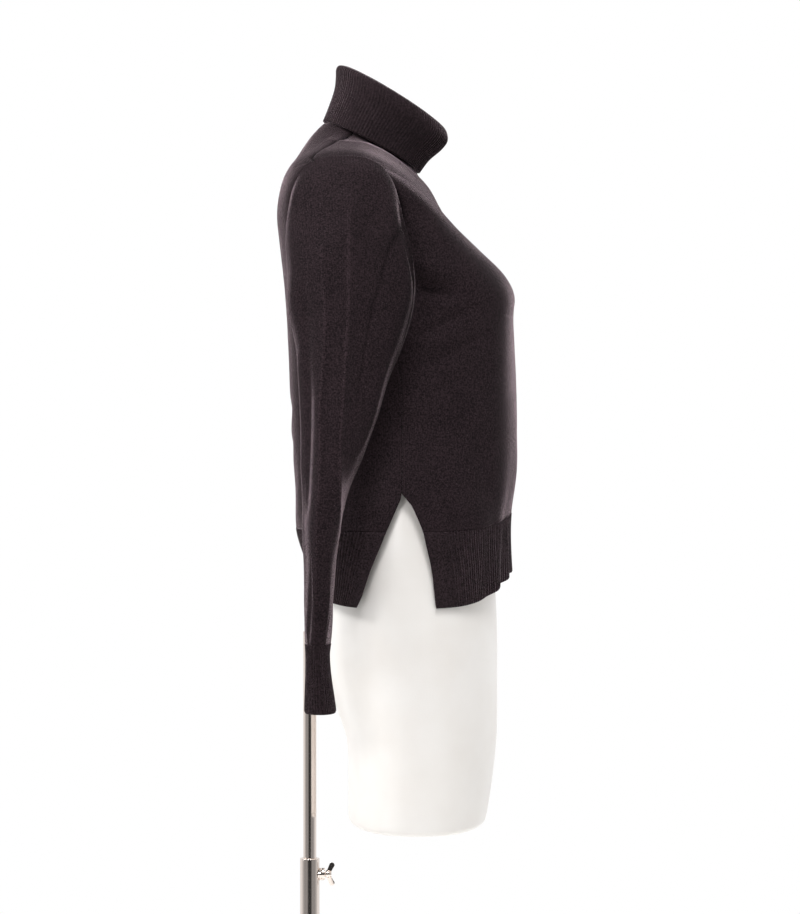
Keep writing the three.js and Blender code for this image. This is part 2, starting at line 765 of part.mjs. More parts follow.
// Farthest back point of the form beside the bracket.
function formBackY(z) {
  const heights = formRings.map((ring) => ring.sideZ);
  const above = heights.findIndex((height) => height > z);
  const t = (z - heights[above - 1]) / (heights[above] - heights[above - 1]);
  return formRings[above - 1].backY + (formRings[above].backY - formRings[above - 1].backY) * t;
}

function mastRod() {
  const chamfer = 1;
  return turned([
    [0, rodEndZ],
    [rodRadius - chamfer, rodEndZ],
    [rodRadius, rodEndZ + chamfer],
    [rodRadius, rodTopZ - chamfer],
    [rodRadius - chamfer, rodTopZ],
    [0, rodTopZ],
  ], 20).translate(0, poleY, 0);
}

// The bracket holds the rod behind the form: a half ring round the rod's front on a flat plate.
function rodBracket() {
  const plateThickness = 3;
  const ringWall = 3.6;
  const hole = rodRadius + fitGap;
  const faceY = formBackY(bracketTopZ) + fitGap;
  const height = bracketTopZ - bracketLowZ;
  const ring = turned([[0, 0], [hole + ringWall, 0], [hole + ringWall, height], [0, height]], 28);
  ring.translate(0, poleY, bracketLowZ);
  const plate = welded(new THREE.BoxGeometry(bracketWidth, plateThickness, height));
  plate.translate(0, faceY + plateThickness / 2, (bracketTopZ + bracketLowZ) / 2);
  const bore = turned([[0, -1], [hole, -1], [hole, height + 1], [0, height + 1]], 28);
  bore.translate(0, poleY, bracketLowZ);
  const cut = 40;
  const cutAt = (y) => solid(welded(new THREE.BoxGeometry(bracketWidth, cut, height + 2)))
    .translate([0, y, (bracketTopZ + bracketLowZ) / 2]);
  const half = solid(ring).add(solid(plate)).subtract(solid(bore));
  return fromSolid(half.subtract(cutAt(faceY - cut / 2)).subtract(cutAt(poleY + cut / 2)));
}

function clampBoss() {
  const bore = shankRadius + fitGap;
  const ring = turned([
    [bore, 0],
    [bossRadius, 0],
    [bossRadius, bossLength + 3],
    [bore, bossLength + 3],
    [bore, 0],
  ], 24);
  ring.rotateX(PI / 2);
  ring.translate(0, poleY - tubeRadius + 3, screwZ);
  const around = turned([[0, -20], [tubeRadius + fitGap, -20], [tubeRadius + fitGap, 20], [0, 20]], 28);
  around.translate(0, poleY, screwZ);
  return fromSolid(solid(ring).subtract(solid(around)));
}

function wingScrew() {
  const tip = poleY - tubeRadius - fitGap;
  const hubStart = poleY - tubeRadius - bossLength - 1.2;
  const hubLength = 6;
  const hubRadius = 4.6;
  const shank = turned([[0, 0], [shankRadius, 0], [shankRadius, 12], [0, 12]], 16);
  shank.rotateX(PI / 2);
  shank.translate(0, tip, 0);
  const hub = turned([[0, 0], [hubRadius, 0], [hubRadius - 0.8, hubLength], [0, hubLength]], 16);
  hub.rotateX(PI / 2);
  hub.translate(0, hubStart, 0);
  const outline = new THREE.Shape();
  outline.moveTo(-4, 0);
  outline.lineTo(4, 0);
  outline.lineTo(10.5, 2.5);
  outline.absarc(10, 5.6, 3, -PI / 3, PI * 0.75, false);
  outline.lineTo(3, 4.8);
  outline.lineTo(-3, 4.8);
  outline.absarc(-10, 5.6, 3, PI * 0.25, PI * 4 / 3, false);
  const wings = new THREE.ExtrudeGeometry(outline, { depth: 2.4, bevelEnabled: false, curveSegments: 6 });
  wings.translate(0, 0, -1.2);
  wings.rotateY(PI / 2);
  wings.scale(1, -1, 1);
  const index = Array.from({ length: wings.attributes.position.count }, (_, i) => i);
  for (let i = 0; i < index.length; i += 3) [index[i], index[i + 1]] = [index[i + 1], index[i]];
  wings.setIndex(index);
  wings.translate(0, hubStart - 1, 0);
  const body = solid(shank).add(solid(hub)).add(solid(welded(wings)));
  const shape = fromSolid(body);
  return shape.translate(0, 0, screwZ);
}

const frontColumns = 18;
const backColumns = 14;
place('front_panel', panel(true, frontColumns), materials.jersey);
place('back_panel', panel(false, backColumns), materials.jersey);
place('front_welt', welt(true, frontWeltRibs, frontColumns), materials.rib);
place('back_welt', welt(false, backWeltRibs, backColumns), materials.rib);
place('collar', collar(frontColumns, backColumns), materials.rib);
const rightSleeve = sleeve();
const rightCuff = cuff();
place('sleeve_right', rightSleeve, materials.jersey);
place('sleeve_left', mirrored(rightSleeve), materials.jersey);
place('cuff_right', rightCuff, materials.rib);
place('cuff_left', mirrored(rightCuff), materials.rib);
place('dress_form', dressForm(24), materials.form);
place('rod_bracket', rodBracket(), materials.chrome);
place('mast_rod', mastRod(), materials.chrome);
place('stand_tube', standTube(), materials.chrome);
place('clamp_boss', clampBoss(), materials.chrome);
place('wing_screw', wingScrew(), materials.chrome);
place('base_plate', basePlate(), materials.foot);

export default whole;
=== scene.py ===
import math
import bmesh
import bpy
import numpy as np
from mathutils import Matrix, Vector


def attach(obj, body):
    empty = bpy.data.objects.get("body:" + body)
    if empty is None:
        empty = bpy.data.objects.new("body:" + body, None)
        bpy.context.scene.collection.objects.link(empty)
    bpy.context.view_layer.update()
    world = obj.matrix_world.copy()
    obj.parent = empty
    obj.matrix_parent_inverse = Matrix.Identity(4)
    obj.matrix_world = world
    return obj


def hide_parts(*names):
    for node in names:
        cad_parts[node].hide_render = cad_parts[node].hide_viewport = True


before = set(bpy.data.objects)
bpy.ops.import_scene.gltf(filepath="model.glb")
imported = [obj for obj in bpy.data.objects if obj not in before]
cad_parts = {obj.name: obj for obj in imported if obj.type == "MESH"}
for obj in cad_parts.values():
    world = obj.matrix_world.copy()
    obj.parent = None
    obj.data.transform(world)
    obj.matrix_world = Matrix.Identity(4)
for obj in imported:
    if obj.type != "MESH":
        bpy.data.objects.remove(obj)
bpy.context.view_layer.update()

mm = 0.001
scene = bpy.context.scene


# The camera stands level at the wearer's right side, as in the photograph.
cameraSettings = {
    "imageHeight": 914,
    "distance": 3300,
    "height": 1047,
    "mmPerPixel": 1.12,
    "sensor": 36,
}


def makeCamera(s):
    data = bpy.data.cameras.new("photoCamera")
    data.sensor_width = s["sensor"]
    data.lens = s["sensor"] * s["distance"] / (s["imageHeight"] * s["mmPerPixel"])
    camera = bpy.data.objects.new("photoCamera", data)
    scene.collection.objects.link(camera)
    camera.location = (-s["distance"] * mm, 0, s["height"] * mm)
    camera.rotation_euler = (math.radians(90), 0, math.radians(-90))
    scene.camera = camera


makeCamera(cameraSettings)
print("camera placed")


# Sizes of the sweater in millimetres, as the frame has them.
cloth = {
    "thickness": 2.2,
    "edgeRound": 2.2,     # how far a sewn edge rolls in at its seam
    "edgeReach": 3.2,
    "seamGap": 0.02,
    "armholeGap": 0.3,
    "neckLean": math.radians(26),
    "neckY": 31.4,
    "neckZ": 1395,
    "shoulderSeam": math.radians(113),
    "weltRow": 2,
    "neckRow": 15,
    "slitTopRow": 2.8,
}

ringNames = ["frontZ", "frontY", "backZ", "backY", "halfWidth", "sideY", "sideZ",
             "frontSquare", "backSquare", "dish"]

# Outer face of the sweater's body, from the hem up to the base of the neck.
bodyRings = [
    [919, -121.5, 900, 97, 171, 3, 885.5, 2.2, 2.2, 5],
    [953, -121.5, 934, 106.5, 171, 2, 926, 2.2, 2.2, 5],
    [985, -124, 968, 116.5, 168, 0, 967, 2.25, 2.2, 5],
    [1030, -131, 1015, 118, 158, -2, 1018, 2.3, 2.3, 4],
    [1083, -131, 1070, 121, 151, -2, 1075, 2.35, 2.35, 3],
    [1140, -129, 1132, 124.5, 153, 0, 1135, 2.5, 2.5, 2],
    [1190, -128, 1190, 126.3, 160, 12, 1188, 2.7, 2.8, 2],
    [1222, -129.5, 1234, 129, 166, 28, 1226, 2.75, 3.1, 2],
    [1247, -117.5, 1276, 133, 172, 42, 1268, 2.6, 3.4, 2],
    [1268, -93.5, 1312, 135.5, 180, 52, 1314, 2.45, 3.5, 2],
    [1285, -72, 1340, 131.5, 187, 58, 1350, 2.3, 3.3, 2],
    [1302, -56.5, 1360, 125.5, 168, 58, 1370, 2.2, 2.9, 2],
    [1320, -47.5, 1380, 115, 132, 53, 1382, 2.1, 2.4, 1.8],
    [1345, -35, 1403, 101, 92, 42, 1389, 2.05, 2.1, 1.4],
]

# Rings round the neck: height and depth at the front and at the back, then the half width.
neckSeamRings = [
    [-6, 60.2, -3, 60.2, 63.2],
    [5, 52.5, 6, 52.5, 55.5],
]
collarOuter = [
    [-3, 61.3, 1, 60.8, 64.8],
    [14, 64.3, 18, 62.3, 65.8],
    [30, 70.5, 38, 64.9, 68],
    [41, 72.6, 51, 69, 70.4],
    [48, 69.8, 59, 72.3, 70],
    [52.5, 65, 64, 71.2, 67],
    [54, 60, 66, 66, 62.5],
]
collarInside = [
    [52, 56.5, 63, 61, 58.5],
    [34, 54, 38, 55, 56.5],
    [14, 51, 14, 51, 54],
]
collarUnder = [
    [14, 53.6, 14, 53.6, 56.6],
    [34, 56.7, 38, 57.7, 59.2],
    [48.5, 63.5, 60, 66.6, 64],
    [34, 67.6, 38, 62, 65.4],
    [-3, 58.7, 1, 58.2, 62.2],
]

# Depth of the front's and the back's side edge at a row of the body.
sideEdges = [[0, -39, 48], [1, -35, 33], [2, -25, 15], [2.45, -16, 5], [2.8, -7, -2.5]]
armholeEdges = [
    [6.3, 27, 27], [6.42, 17, 52], [6.7, 10, 75], [7.15, 6, 93], [7.7, 2, 105],
    [8.3, -2, 112], [8.9, -3, 114], [9.45, 2, 112], [9.85, 11, 107], [10.12, 24, 102],
    [10.3, 40, 98], [10.42, 58, 95], [10.5, 75, 92.5], [10.55, 91, 91],
]

# Rings of a sleeve: its inner, outer, front and back lines.
sleeveNames = ["inX", "inZ", "outX", "outZ", "frontY", "backY", "square"]
sleeveRings = [
    [171, 1196, 188, 1365, -1, 119, 2.8],
    [173, 1184, 204, 1348, -6, 121, 2.6],
    [173, 1170, 222, 1311, -15, 120, 2.2],
    [172, 1152, 234, 1262, -13, 117, 2.1],
    [171, 1130, 237, 1204, -2, 110, 2],
    [169, 1104, 238, 1152, 12, 107, 2],
    [168, 1072, 240, 1104, 25, 104, 2],
    [169, 1036, 244, 1056, 39, 102.5, 2],
    [171, 1000, 249, 1010, 55, 101, 2.1],
    [173, 962, 254, 966, 65, 100.5, 2.2],
    [175, 918, 257, 920, 69, 100, 2.3],
    [180, 880, 255, 880, 70, 100, 2.3],
    [190, 852, 250, 852, 73, 98, 2.3],
    [193, 838, 249, 838, 74, 97.5, 2.3],
    [191, 810, 251, 810, 71, 99, 2.3],
    [188, 781, 253, 780, 67, 100, 2.3],
]
cuffTop = 12
cuffEnd = 15


def columns(rows, names):
    table = np.array(rows, float)
    return {name: table[:, i] for i, name in enumerate(names)}


# Catmull-Rom curve through the rows of a table, read at row numbers that may be fractions.
def smoothRow(values, at):
    values = np.asarray(values, float)
    at = np.asarray(at, float)
    last = len(values) - 1
    i = np.clip(np.floor(at).astype(int), 0, last - 1)
    t = at - i
    a, b = values[np.maximum(i - 1, 0)], values[i]
    c, d = values[i + 1], values[np.minimum(i + 2, last)]
    bend = (2 * a - 5 * b + 4 * c - d) * t + (3 * b - a - 3 * c + d) * t * t
    return b + 0.5 * t * (c - a + bend)


# Ring ends for a leaning ring round the neck.
def neckRing(frontHeight, frontDepth, backHeight, backDepth, width):
    sine, cosine = math.sin(cloth["neckLean"]), math.cos(cloth["neckLean"])
    frontY = cloth["neckY"] - frontHeight * sine - frontDepth * cosine
    frontZ = cloth["neckZ"] + frontHeight * cosine - frontDepth * sine
    backY = cloth["neckY"] - backHeight * sine + backDepth * cosine
    backZ = cloth["neckZ"] + backHeight * cosine + backDepth * sine
    sideY, sideZ = (frontY + backY) / 2, (frontZ + backZ) / 2
    return [frontZ, frontY, backZ, backY, width, sideY, sideZ, 2, 2, 1]


bodyTable = columns(bodyRings + [neckRing(*row) for row in neckSeamRings], ringNames)


# Points of rings. The angle starts at the front centre and turns to the wearer's right.
def ringPoints(ring, angle):
    front = np.cos(angle) > 0
    power = 2 / np.where(front, ring["frontSquare"], ring["backSquare"])
    across = np.sign(np.sin(angle)) * np.abs(np.sin(angle)) ** power
    along = np.abs(np.cos(angle)) ** power
    endY = np.where(front, ring["frontY"], ring["backY"])
    endZ = np.where(front, ring["frontZ"], ring["backZ"])
    return np.stack([
        -ring["halfWidth"] * across,
        ring["sideY"] + (endY - ring["sideY"]) * along,
        ring["sideZ"] + (endZ - ring["sideZ"]) * along ** ring["dish"],
    ], -1)


def ringsAt(table, at):
    return {name: smoothRow(values, at) for name, values in table.items()}


def bodyPoints(row, angle):
    return ringPoints(ringsAt(bodyTable, row), angle)


def unit(vectors):
    return vectors / np.maximum(np.linalg.norm(vectors, axis=-1, keepdims=True), 1e-9)


def surfaceNormals(surface, u, v, step=0.004):
    alongU = surface(u + step, v) - surface(u - step, v)
    alongV = surface(u, v + step) - surface(u, v - step)
    return unit(np.cross(alongU, alongV))


def bodyNormals(row, angle):
    row = np.clip(row, 0.01, cloth["neckRow"] - 0.01)
    offSide = np.abs(np.abs(np.sin(angle)) - 1) < 0.0002
    return surfaceNormals(bodyPoints, row, angle + np.where(offSide, 0.02, 0))


def angleAt(row, y):
    ring = ringsAt(bodyTable, row)
    front = y < ring["sideY"]
    end = np.where(front, ring["frontY"], ring["backY"])
    square = np.where(front, ring["frontSquare"], ring["backSquare"])
    along = np.clip((y - ring["sideY"]) / (end - ring["sideY"]), 0, 1)
    cosine = along ** (square / 2)
    return np.arccos(np.where(front, cosine, -cosine))


armholeTable = columns(armholeEdges, ["row", "frontY", "backY"])
armholeSteps = 9    # rows between two rows of the armhole table
armholeAt = np.linspace(0, len(armholeEdges) - 1, (len(armholeEdges) - 1) * armholeSteps + 1)
armholeRow = smoothRow(armholeTable["row"], armholeAt)
armholeFront = angleAt(armholeRow, smoothRow(armholeTable["frontY"], armholeAt))
armholeBack = angleAt(armholeRow, smoothRow(armholeTable["backY"], armholeAt))


# Angles of a panel's side edge: slit, side seam, armhole and shoulder seam.
def edgeAngles(rows, isFront):
    slit = np.array(sideEdges, float)
    edgeY = np.interp(rows, slit[:, 0], slit[:, 1 if isFront else 2])
    angles = angleAt(rows, edgeY)
    angles = np.where(rows >= cloth["slitTopRow"], math.pi / 2, angles)
    blend = np.clip((rows - sideEdges[-2][0]) / (cloth["slitTopRow"] - sideEdges[-2][0]), 0, 1)
    angles = angles + (math.pi / 2 - angles) * blend ** 3
    armhole = armholeFront if isFront else armholeBack
    upperRow = np.append(armholeRow, [armholeRow[-1] + 0.35, cloth["neckRow"]])
    upper = np.append(armhole, [cloth["shoulderSeam"], cloth["shoulderSeam"]])
    return np.where(rows >= armholeRow[0], np.interp(rows, upperRow, upper), angles)


# Angle beside an edge, away from it by half a seam's gap, measured square to the edge.
def besideSeam(rows, edge, way):
    seamWay = unit(bodyPoints(rows + 0.05, edge) - bodyPoints(rows - 0.05, edge))
    here = bodyPoints(rows, edge)
    step = np.full(rows.shape, 0.002)
    for _ in range(6):
        away = np.linalg.norm(np.cross(bodyPoints(rows, edge + way * step) - here, seamWay), axis=-1)
        step = step * cloth["seamGap"] / 2 / np.maximum(away, 1e-6)
    return edge + way * step


# Folds and creases. Each has a route of points, a height that is negative for a trough, and a
# width on the left of its route and one on the right. A sharp one comes to an edge, and a line
# is painted along it: a painted highlight above zero, painted shade below.
foldSettings = {
    "routeSteps": 24,
    "edgeRound": 0.25,     # of its width, how round a sharp fold's edge is
    "lineWidth": 1.6,
    "shoulderScale": 20,    # degrees that count as one row of the body
    "sleeveScale": 14,      # degrees that count as one ring of a sleeve
}


def routeLine(points):
    at = np.linspace(0, len(points) - 1, foldSettings["routeSteps"])
    return np.stack([smoothRow(np.array(points, float)[:, i], at) for i in (0, 1)], -1)


def foldField(a, b, folds, scale=1.0):
    total = np.zeros(a.shape)
    for fold in folds:
        line = routeLine(fold["route"]) * [1, scale]
        nearest = np.full(a.shape, 1e9)
        share = np.zeros(a.shape)
        side = np.zeros(a.shape)
        for k in range(len(line) - 1):
            start, step = line[k], line[k + 1] - line[k]
            da, db = a - start[0], b * scale - start[1]
            t = np.clip((da * step[0] + db * step[1]) / (step @ step), 0, 1)
            away = np.hypot(da - step[0] * t, db - step[1] * t)
            closer = away < nearest
            nearest = np.where(closer, away, nearest)
            share = np.where(closer, (k + t) / (len(line) - 1), share)
            side = np.where(closer, step[0] * db - step[1] * da, side)
        ends = np.sin(math.pi * np.clip(share, 0, 1)) ** fold.get("ends", 0.6)
        left, right = fold["width"]
        off = nearest / np.where(side > 0, left, right)
        edgeRound = foldSettings["edgeRound"]
        shape = np.exp(-off * off)
        if fold.get("sharp"):
            shape = np.exp(edgeRound - np.hypot(off, edgeRound))
        total += fold["height"] * ends * shape
    return total


# Painted light and shade: narrow lines along the folds that have one, a painted highlight above zero and
# painted shade below.
def paintedFoldLines(a, b, folds, scale=1.0):
    width = (foldSettings["lineWidth"], foldSettings["lineWidth"])
    lines = [{**fold, "width": width, "height": fold["line"], "sharp": False}
             for fold in folds if "line" in fold]
    return foldField(a, b, lines, scale)


# Smooth random field: a sum of waves with seeded directions, the same on each run.
def waveField(points, size, seed, count=9):
    random = np.random.default_rng(seed)
    directions = unit(random.normal(size=(count, 3)))
    lengths = size * (0.7 + 0.8 * random.random(count))
    phases = random.random(count) * 2 * math.pi
    return sum(np.sin(points @ directions[k] * 2 * math.pi / lengths[k] + phases[k])
               for k in range(count)) / math.sqrt(count)


# One mesh that is gathered from sheets of points and the strips that join their edges.
class Wall:
    def __init__(self):
        self.points = []
        self.size = 0
        self.faces = []
        self.uvs = []
        self.corner = {}

    def add(self, grid, uv, inward=False, closed=False):
        rows, count = grid.shape[:2]
        index = np.arange(rows * count).reshape(rows, count) + self.size
        self.points.append(grid.reshape(-1, 3))
        self.size += rows * count
        if closed:
            index = np.hstack([index, index[:, :1]])
        for number, place in zip(index.ravel(), uv.reshape(-1, 2)):
            self.corner[number] = tuple(place)
        quads = np.stack([index[:-1, :-1], index[:-1, 1:], index[1:, 1:], index[1:, :-1]], -1)
        spots = np.stack([uv[:-1, :-1], uv[:-1, 1:], uv[1:, 1:], uv[1:, :-1]], -2)
        if inward:
            quads, spots = quads[..., ::-1], spots[..., ::-1, :]
        self.faces += quads.reshape(-1, 4).tolist()
        self.uvs.append(spots.reshape(-1, 2))
        return index

    def joinEdges(self, outer, inner):
        every = np.concatenate(self.points)
        share = []
        for edge in (outer, inner):
            steps = np.linalg.norm(np.diff(every[edge], axis=0), axis=1)
            run = np.concatenate([[0], np.cumsum(steps)])
            share.append(run / run[-1])
        i = j = 0
        spots = []
        while i < len(outer) - 1 or j < len(inner) - 1:
            innerDone = j == len(inner) - 1
            takeOuter = innerDone or (i < len(outer) - 1 and share[0][i + 1] <= share[1][j + 1])
            if takeOuter:
                face = [outer[i + 1], outer[i], inner[j]]
                i += 1
            else:
                face = [inner[j], inner[j + 1], outer[i]]
                j += 1
            self.faces.append([int(n) for n in face])
            spots += [self.corner[n] for n in face]
        self.uvs.append(np.array(spots))

    def build(self, name, flip=False):
        mesh = bpy.data.meshes.new(name)
        faces = [face[::-1] for face in self.faces] if flip else self.faces
        points = np.concatenate(self.points) * mm
        mesh.from_pydata(points.tolist(), [], faces)
        layer = mesh.uv_layers.new(name="knitMap")
        spots = np.concatenate(self.uvs)
        if flip:
            ends = np.cumsum([len(face) for face in self.faces])
            order = np.concatenate([np.arange(end - 1, end - 1 - len(face), -1)
                                    for end, face in zip(ends, self.faces)])
            spots = spots[order]
        layer.data.foreach_set("uv", spots.astype(np.float32).ravel())
        mesh.polygons.foreach_set("use_smooth", [True] * len(mesh.polygons))
        mesh.validate()
        mesh.update()
        piece = bpy.data.objects.new(name, mesh)
        scene.collection.objects.link(piece)
        return piece


# Real lengths along the rows and up the columns of a grid, for the knit's scale.
def knitMap(grid, closed=False):
    if closed:
        grid = np.concatenate([grid, grid[:, :1]], 1)
    across = np.linalg.norm(np.diff(grid, axis=1), axis=2)
    u = np.concatenate([np.zeros((len(grid), 1)), np.cumsum(across, 1)], 1)
    u = u * (u[:, -1].mean() / np.maximum(u[:, -1:], 1e-6))
    up = np.linalg.norm(np.diff(grid, axis=0), axis=2).mean(1)
    v = np.concatenate([[0], np.cumsum(up)])
    return np.stack([u, np.broadcast_to(v[:, None], u.shape)], -1)


# Painted light and shade at the points of a wall's outer side: above zero a painted highlight, below zero
# painted shade.
def setPaintedShading(piece, tone):
    layer = piece.data.attributes.new("paintedShading", "FLOAT", "POINT")
    values = np.zeros(len(piece.data.vertices), np.float32)
    values[:tone.size] = np.clip(tone, -1, 1).ravel()
    layer.data.foreach_set("value", values)


def openWall(name, outer, inner):
    wall = Wall()
    a = wall.add(outer, knitMap(outer))
    b = wall.add(inner, knitMap(inner), inward=True)
    wall.joinEdges(a[0], b[0])
    wall.joinEdges(a[:, -1], b[:, -1])
    wall.joinEdges(a[-1][::-1], b[-1][::-1])
    wall.joinEdges(a[::-1, 0], b[::-1, 0])
    return wall.build(name)


def tubeWall(name, outer, inner, flip=False):
    wall = Wall()
    a = wall.add(outer, knitMap(outer, True), closed=True)
    b = wall.add(inner, knitMap(inner, True), inward=True, closed=True)
    wall.joinEdges(a[0], b[0])
    wall.joinEdges(a[-1][::-1], b[-1][::-1])
    return wall.build(name, flip)


# Colours and materials
def toLinear(hexColour):
    value = hexColour.lstrip("#")
    channels = [int(value[i:i + 2], 16) / 255 for i in (0, 2, 4)]
    return [c / 12.92 if c <= 0.04045 else ((c + 0.055) / 1.055) ** 2.4 for c in channels] + [1]


# Adds a node. Each of its inputs is given a value, or a socket to be linked to it.
def addNode(tree, kind, settings=None, inputs=None):
    node = tree.nodes.new(kind)
    for name, value in (settings or {}).items():
        setattr(node, name, value)
    for name, value in (inputs or {}).items():
        if isinstance(value, bpy.types.NodeSocket):
            tree.links.new(value, node.inputs[name])
        else:
            node.inputs[name].default_value = value
    return node


def newMaterial(name, shaderInputs):
    material = bpy.data.materials.new(name)
    material.use_nodes = True
    tree = material.node_tree
    tree.nodes.clear()
    shader = addNode(tree, "ShaderNodeBsdfPrincipled", inputs=shaderInputs)
    addNode(tree, "ShaderNodeOutputMaterial", inputs={"Surface": shader.outputs["BSDF"]})
    return material, tree, shader


# Places the two colours of a ramp, each given as its position and its colour.
def setRamp(ramp, *stops):
    for element, (position, colour) in zip(ramp.color_ramp.elements, stops):
        element.position = position
        element.color = toLinear(colour)


# Wool knit, machine knitted in plain jersey: V-shaped stitches in upright columns with a soft nap,
# so the surface looks matt and finely grained, and lighter where it turns away.
def knitMaterial(name, s):
    material, tree, shader = newMaterial(name, {
        "Roughness": s["roughness"],
        "IOR": 1.45,
        "Specular IOR Level": s["specular"],
        "Sheen Roughness": s["sheenRoughness"],
        "Sheen Tint": toLinear(s["sheenColour"]),
    })
    knitPlace = addNode(tree, "ShaderNodeUVMap", {"uv_map": "knitMap"}).outputs["UV"]
    split = addNode(tree, "ShaderNodeSeparateXYZ", inputs={"Vector": knitPlace})
    where = addNode(tree, "ShaderNodeTexCoord").outputs["Object"]
    yarn = addNode(tree, "ShaderNodeTexNoise", inputs={
        "Vector": where, "Scale": 1000 / s["yarnSize"], "Detail": 3, "Roughness": 0.65})
    patch = addNode(tree, "ShaderNodeTexNoise", inputs={
        "Vector": where, "Scale": 1000 / s["patchSize"], "Detail": 4, "Roughness": 0.6})
    lint = addNode(tree, "ShaderNodeTexVoronoi", {"feature": "F1"}, {
        "Vector": where, "Scale": 1000 / s["lintSpacing"], "Randomness": 1})
    paintedShadingInput = addNode(tree, "ShaderNodeAttribute", {"attribute_name": "paintedShading"}).outputs["Fac"]
    sockets = {
        "across": split.outputs["X"],
        "up": split.outputs["Y"],
        "yarn": yarn.outputs[0],
        "patch": patch.outputs[0],
        "lintAway": lint.outputs["Distance"],
    }
    # Each row names its result, then what is done with the one or two terms that follow.
    sums = [
        ("column", "DIVIDE", "across", s["stitchWidth"]),
        ("course", "DIVIDE", "up", s["stitchHeight"]),
        ("columnPart", "FRACT", "column"),
        ("fromMiddle", "SUBTRACT", "columnPart", 0.5),
        ("side", "ABSOLUTE", "fromMiddle"),
        ("rise", "MULTIPLY", "side", s["legSlope"]),
        ("slant", "ADD", "course", "rise"),
        ("slantTurn", "MULTIPLY", "slant", math.pi),
        ("slantWave", "SINE", "slantTurn"),
        ("legs", "ABSOLUTE", "slantWave"),
        ("columnTurn", "MULTIPLY", "column", math.pi),
        ("columnWave", "SINE", "columnTurn"),
        ("columnRound", "ABSOLUTE", "columnWave"),
        ("groove", "POWER", "columnRound", 0.5),
        ("stitch", "MULTIPLY", "legs", "groove"),
        ("speck", "LESS_THAN", "lintAway", s["lintShare"]),
        ("lintMix", "MULTIPLY", "speck", s["lintStrength"]),
        ("yarnTone", "MULTIPLY", "yarn", 1 - s["patchShare"]),
        ("patchTone", "MULTIPLY", "patch", s["patchShare"]),
        ("tone", "ADD", "yarnTone", "patchTone"),
        ("stitchRelief", "MULTIPLY", "stitch", s["stitchDepth"]),
        ("napRelief", "MULTIPLY", "yarn", s["napDepth"]),
        ("relief", "ADD", "stitchRelief", "napRelief"),
    ]
    for result, operation, *terms in sums:
        inputs = {i: sockets.get(term, term) for i, term in enumerate(terms)}
        sockets[result] = addNode(tree, "ShaderNodeMath", {"operation": operation}, inputs).outputs[0]
    ramp = addNode(tree, "ShaderNodeValToRGB", inputs={"Fac": sockets["tone"]})
    setRamp(ramp, (0.37, s["darkColour"]), (0.63, s["lightColour"]))
    grey = addNode(tree, "ShaderNodeCombineColor", inputs={
        "Red": sockets["stitch"], "Green": sockets["stitch"], "Blue": sockets["stitch"]})
    # A mix node's inputs 0, 6 and 7 are its factor and its two colours, and output 2 is a colour.
    stitched = addNode(tree, "ShaderNodeMix", {"data_type": "RGBA", "blend_type": "MULTIPLY"}, {
        0: s["stitchShade"], 6: ramp.outputs["Color"], 7: grey.outputs[0]})
    linted = addNode(tree, "ShaderNodeMix", {"data_type": "RGBA"}, {
        0: sockets["lintMix"], 6: stitched.outputs[2], 7: toLinear(s["lintColour"])})
    # Painted light and shade: the base colour is scaled by the painted shading attribute, and the sheen
    # weight follows it.
    paintedColourScale = addNode(tree, "ShaderNodeMapRange", inputs={
        "Value": paintedShadingInput, "From Min": -1, "From Max": 1,
        "To Min": s["paintedDarkScale"], "To Max": s["paintedLightScale"]})
    toned = addNode(tree, "ShaderNodeVectorMath", {"operation": "SCALE"}, {
        0: linted.outputs[2], "Scale": paintedColourScale.outputs[0]})
    tree.links.new(toned.outputs[0], shader.inputs["Base Color"])
    low, high = s["sheen"] * (1 - s["creaseSheen"]), s["sheen"] * (1 + s["creaseSheen"])
    nap = addNode(tree, "ShaderNodeMapRange", inputs={
        "Value": paintedShadingInput, "From Min": -1, "From Max": 1, "To Min": low, "To Max": high})
    tree.links.new(nap.outputs[0], shader.inputs["Sheen Weight"])
    bump = addNode(tree, "ShaderNodeBump", inputs={
        "Height": sockets["relief"], "Strength": s["bumpStrength"], "Distance": mm})
    tree.links.new(bump.outputs[0], shader.inputs["Normal"])
    return material


# Stitches are drawn about a half larger than real ones of 1.4 mm, so that they show in the render.
jerseySettings = {
    "darkColour": "#140f11",
    "lightColour": "#33282c",
    "sheenColour": "#e6ced6",
    "lintColour": "#6a5f64",
    "roughness": 0.95,
    "specular": 0.1,
    "sheen": 0.9,
    "sheenRoughness": 0.15,
    "paintedLightScale": 1.75,    # painted highlight: the base colour's scale where the painted shading is highest; 1 leaves it as it is
    # Painted shade: the base colour's scale where the painted shading is lowest.
    "paintedDarkScale": 0.25,
    "creaseSheen": 0.95,
    "stitchWidth": 2.0,
    "stitchHeight": 1.6,
    "legSlope": 1.3,
    "stitchShade": 0.35,
    "stitchDepth": 0.35,
    "napDepth": 0.5,
    "bumpStrength": 0.5,
    "yarnSize": 1.8,
    "patchSize": 30,
    "patchShare": 0.14,
    "lintSpacing": 5,
    "lintShare": 0.06,
    "lintStrength": 0.5,
}
jersey = knitMaterial("woolJersey", jerseySettings)

# The same wool knitted in ribs: their sides would shine as lines, so welts and cuffs have less sheen.
ribKnitSettings = {**jerseySettings, "lightColour": "#372c30", "stitchWidth": 1.8, "lintShare": 0.04}
ribKnit = knitMaterial("woolRibKnit", {**ribKnitSettings, "sheen": 0.45})
collarKnit = knitMaterial("woolCollarKnit", {**ribKnitSettings, "darkColour": "#1a1416"})


# Fibreglass with a white gel coat, sanded and satin: even, softly shiny, with a faint unevenness.
formSettings = {
    "colour": "#e5e2df",
    "shade": "#e1ddd9",
    "roughness": 0.42,
    "coat": 0.15,
    "coatRoughness": 0.25,
    "waveSize": 60,
    "grainSize": 1.6,
    "grainStrength": 0.08,
}


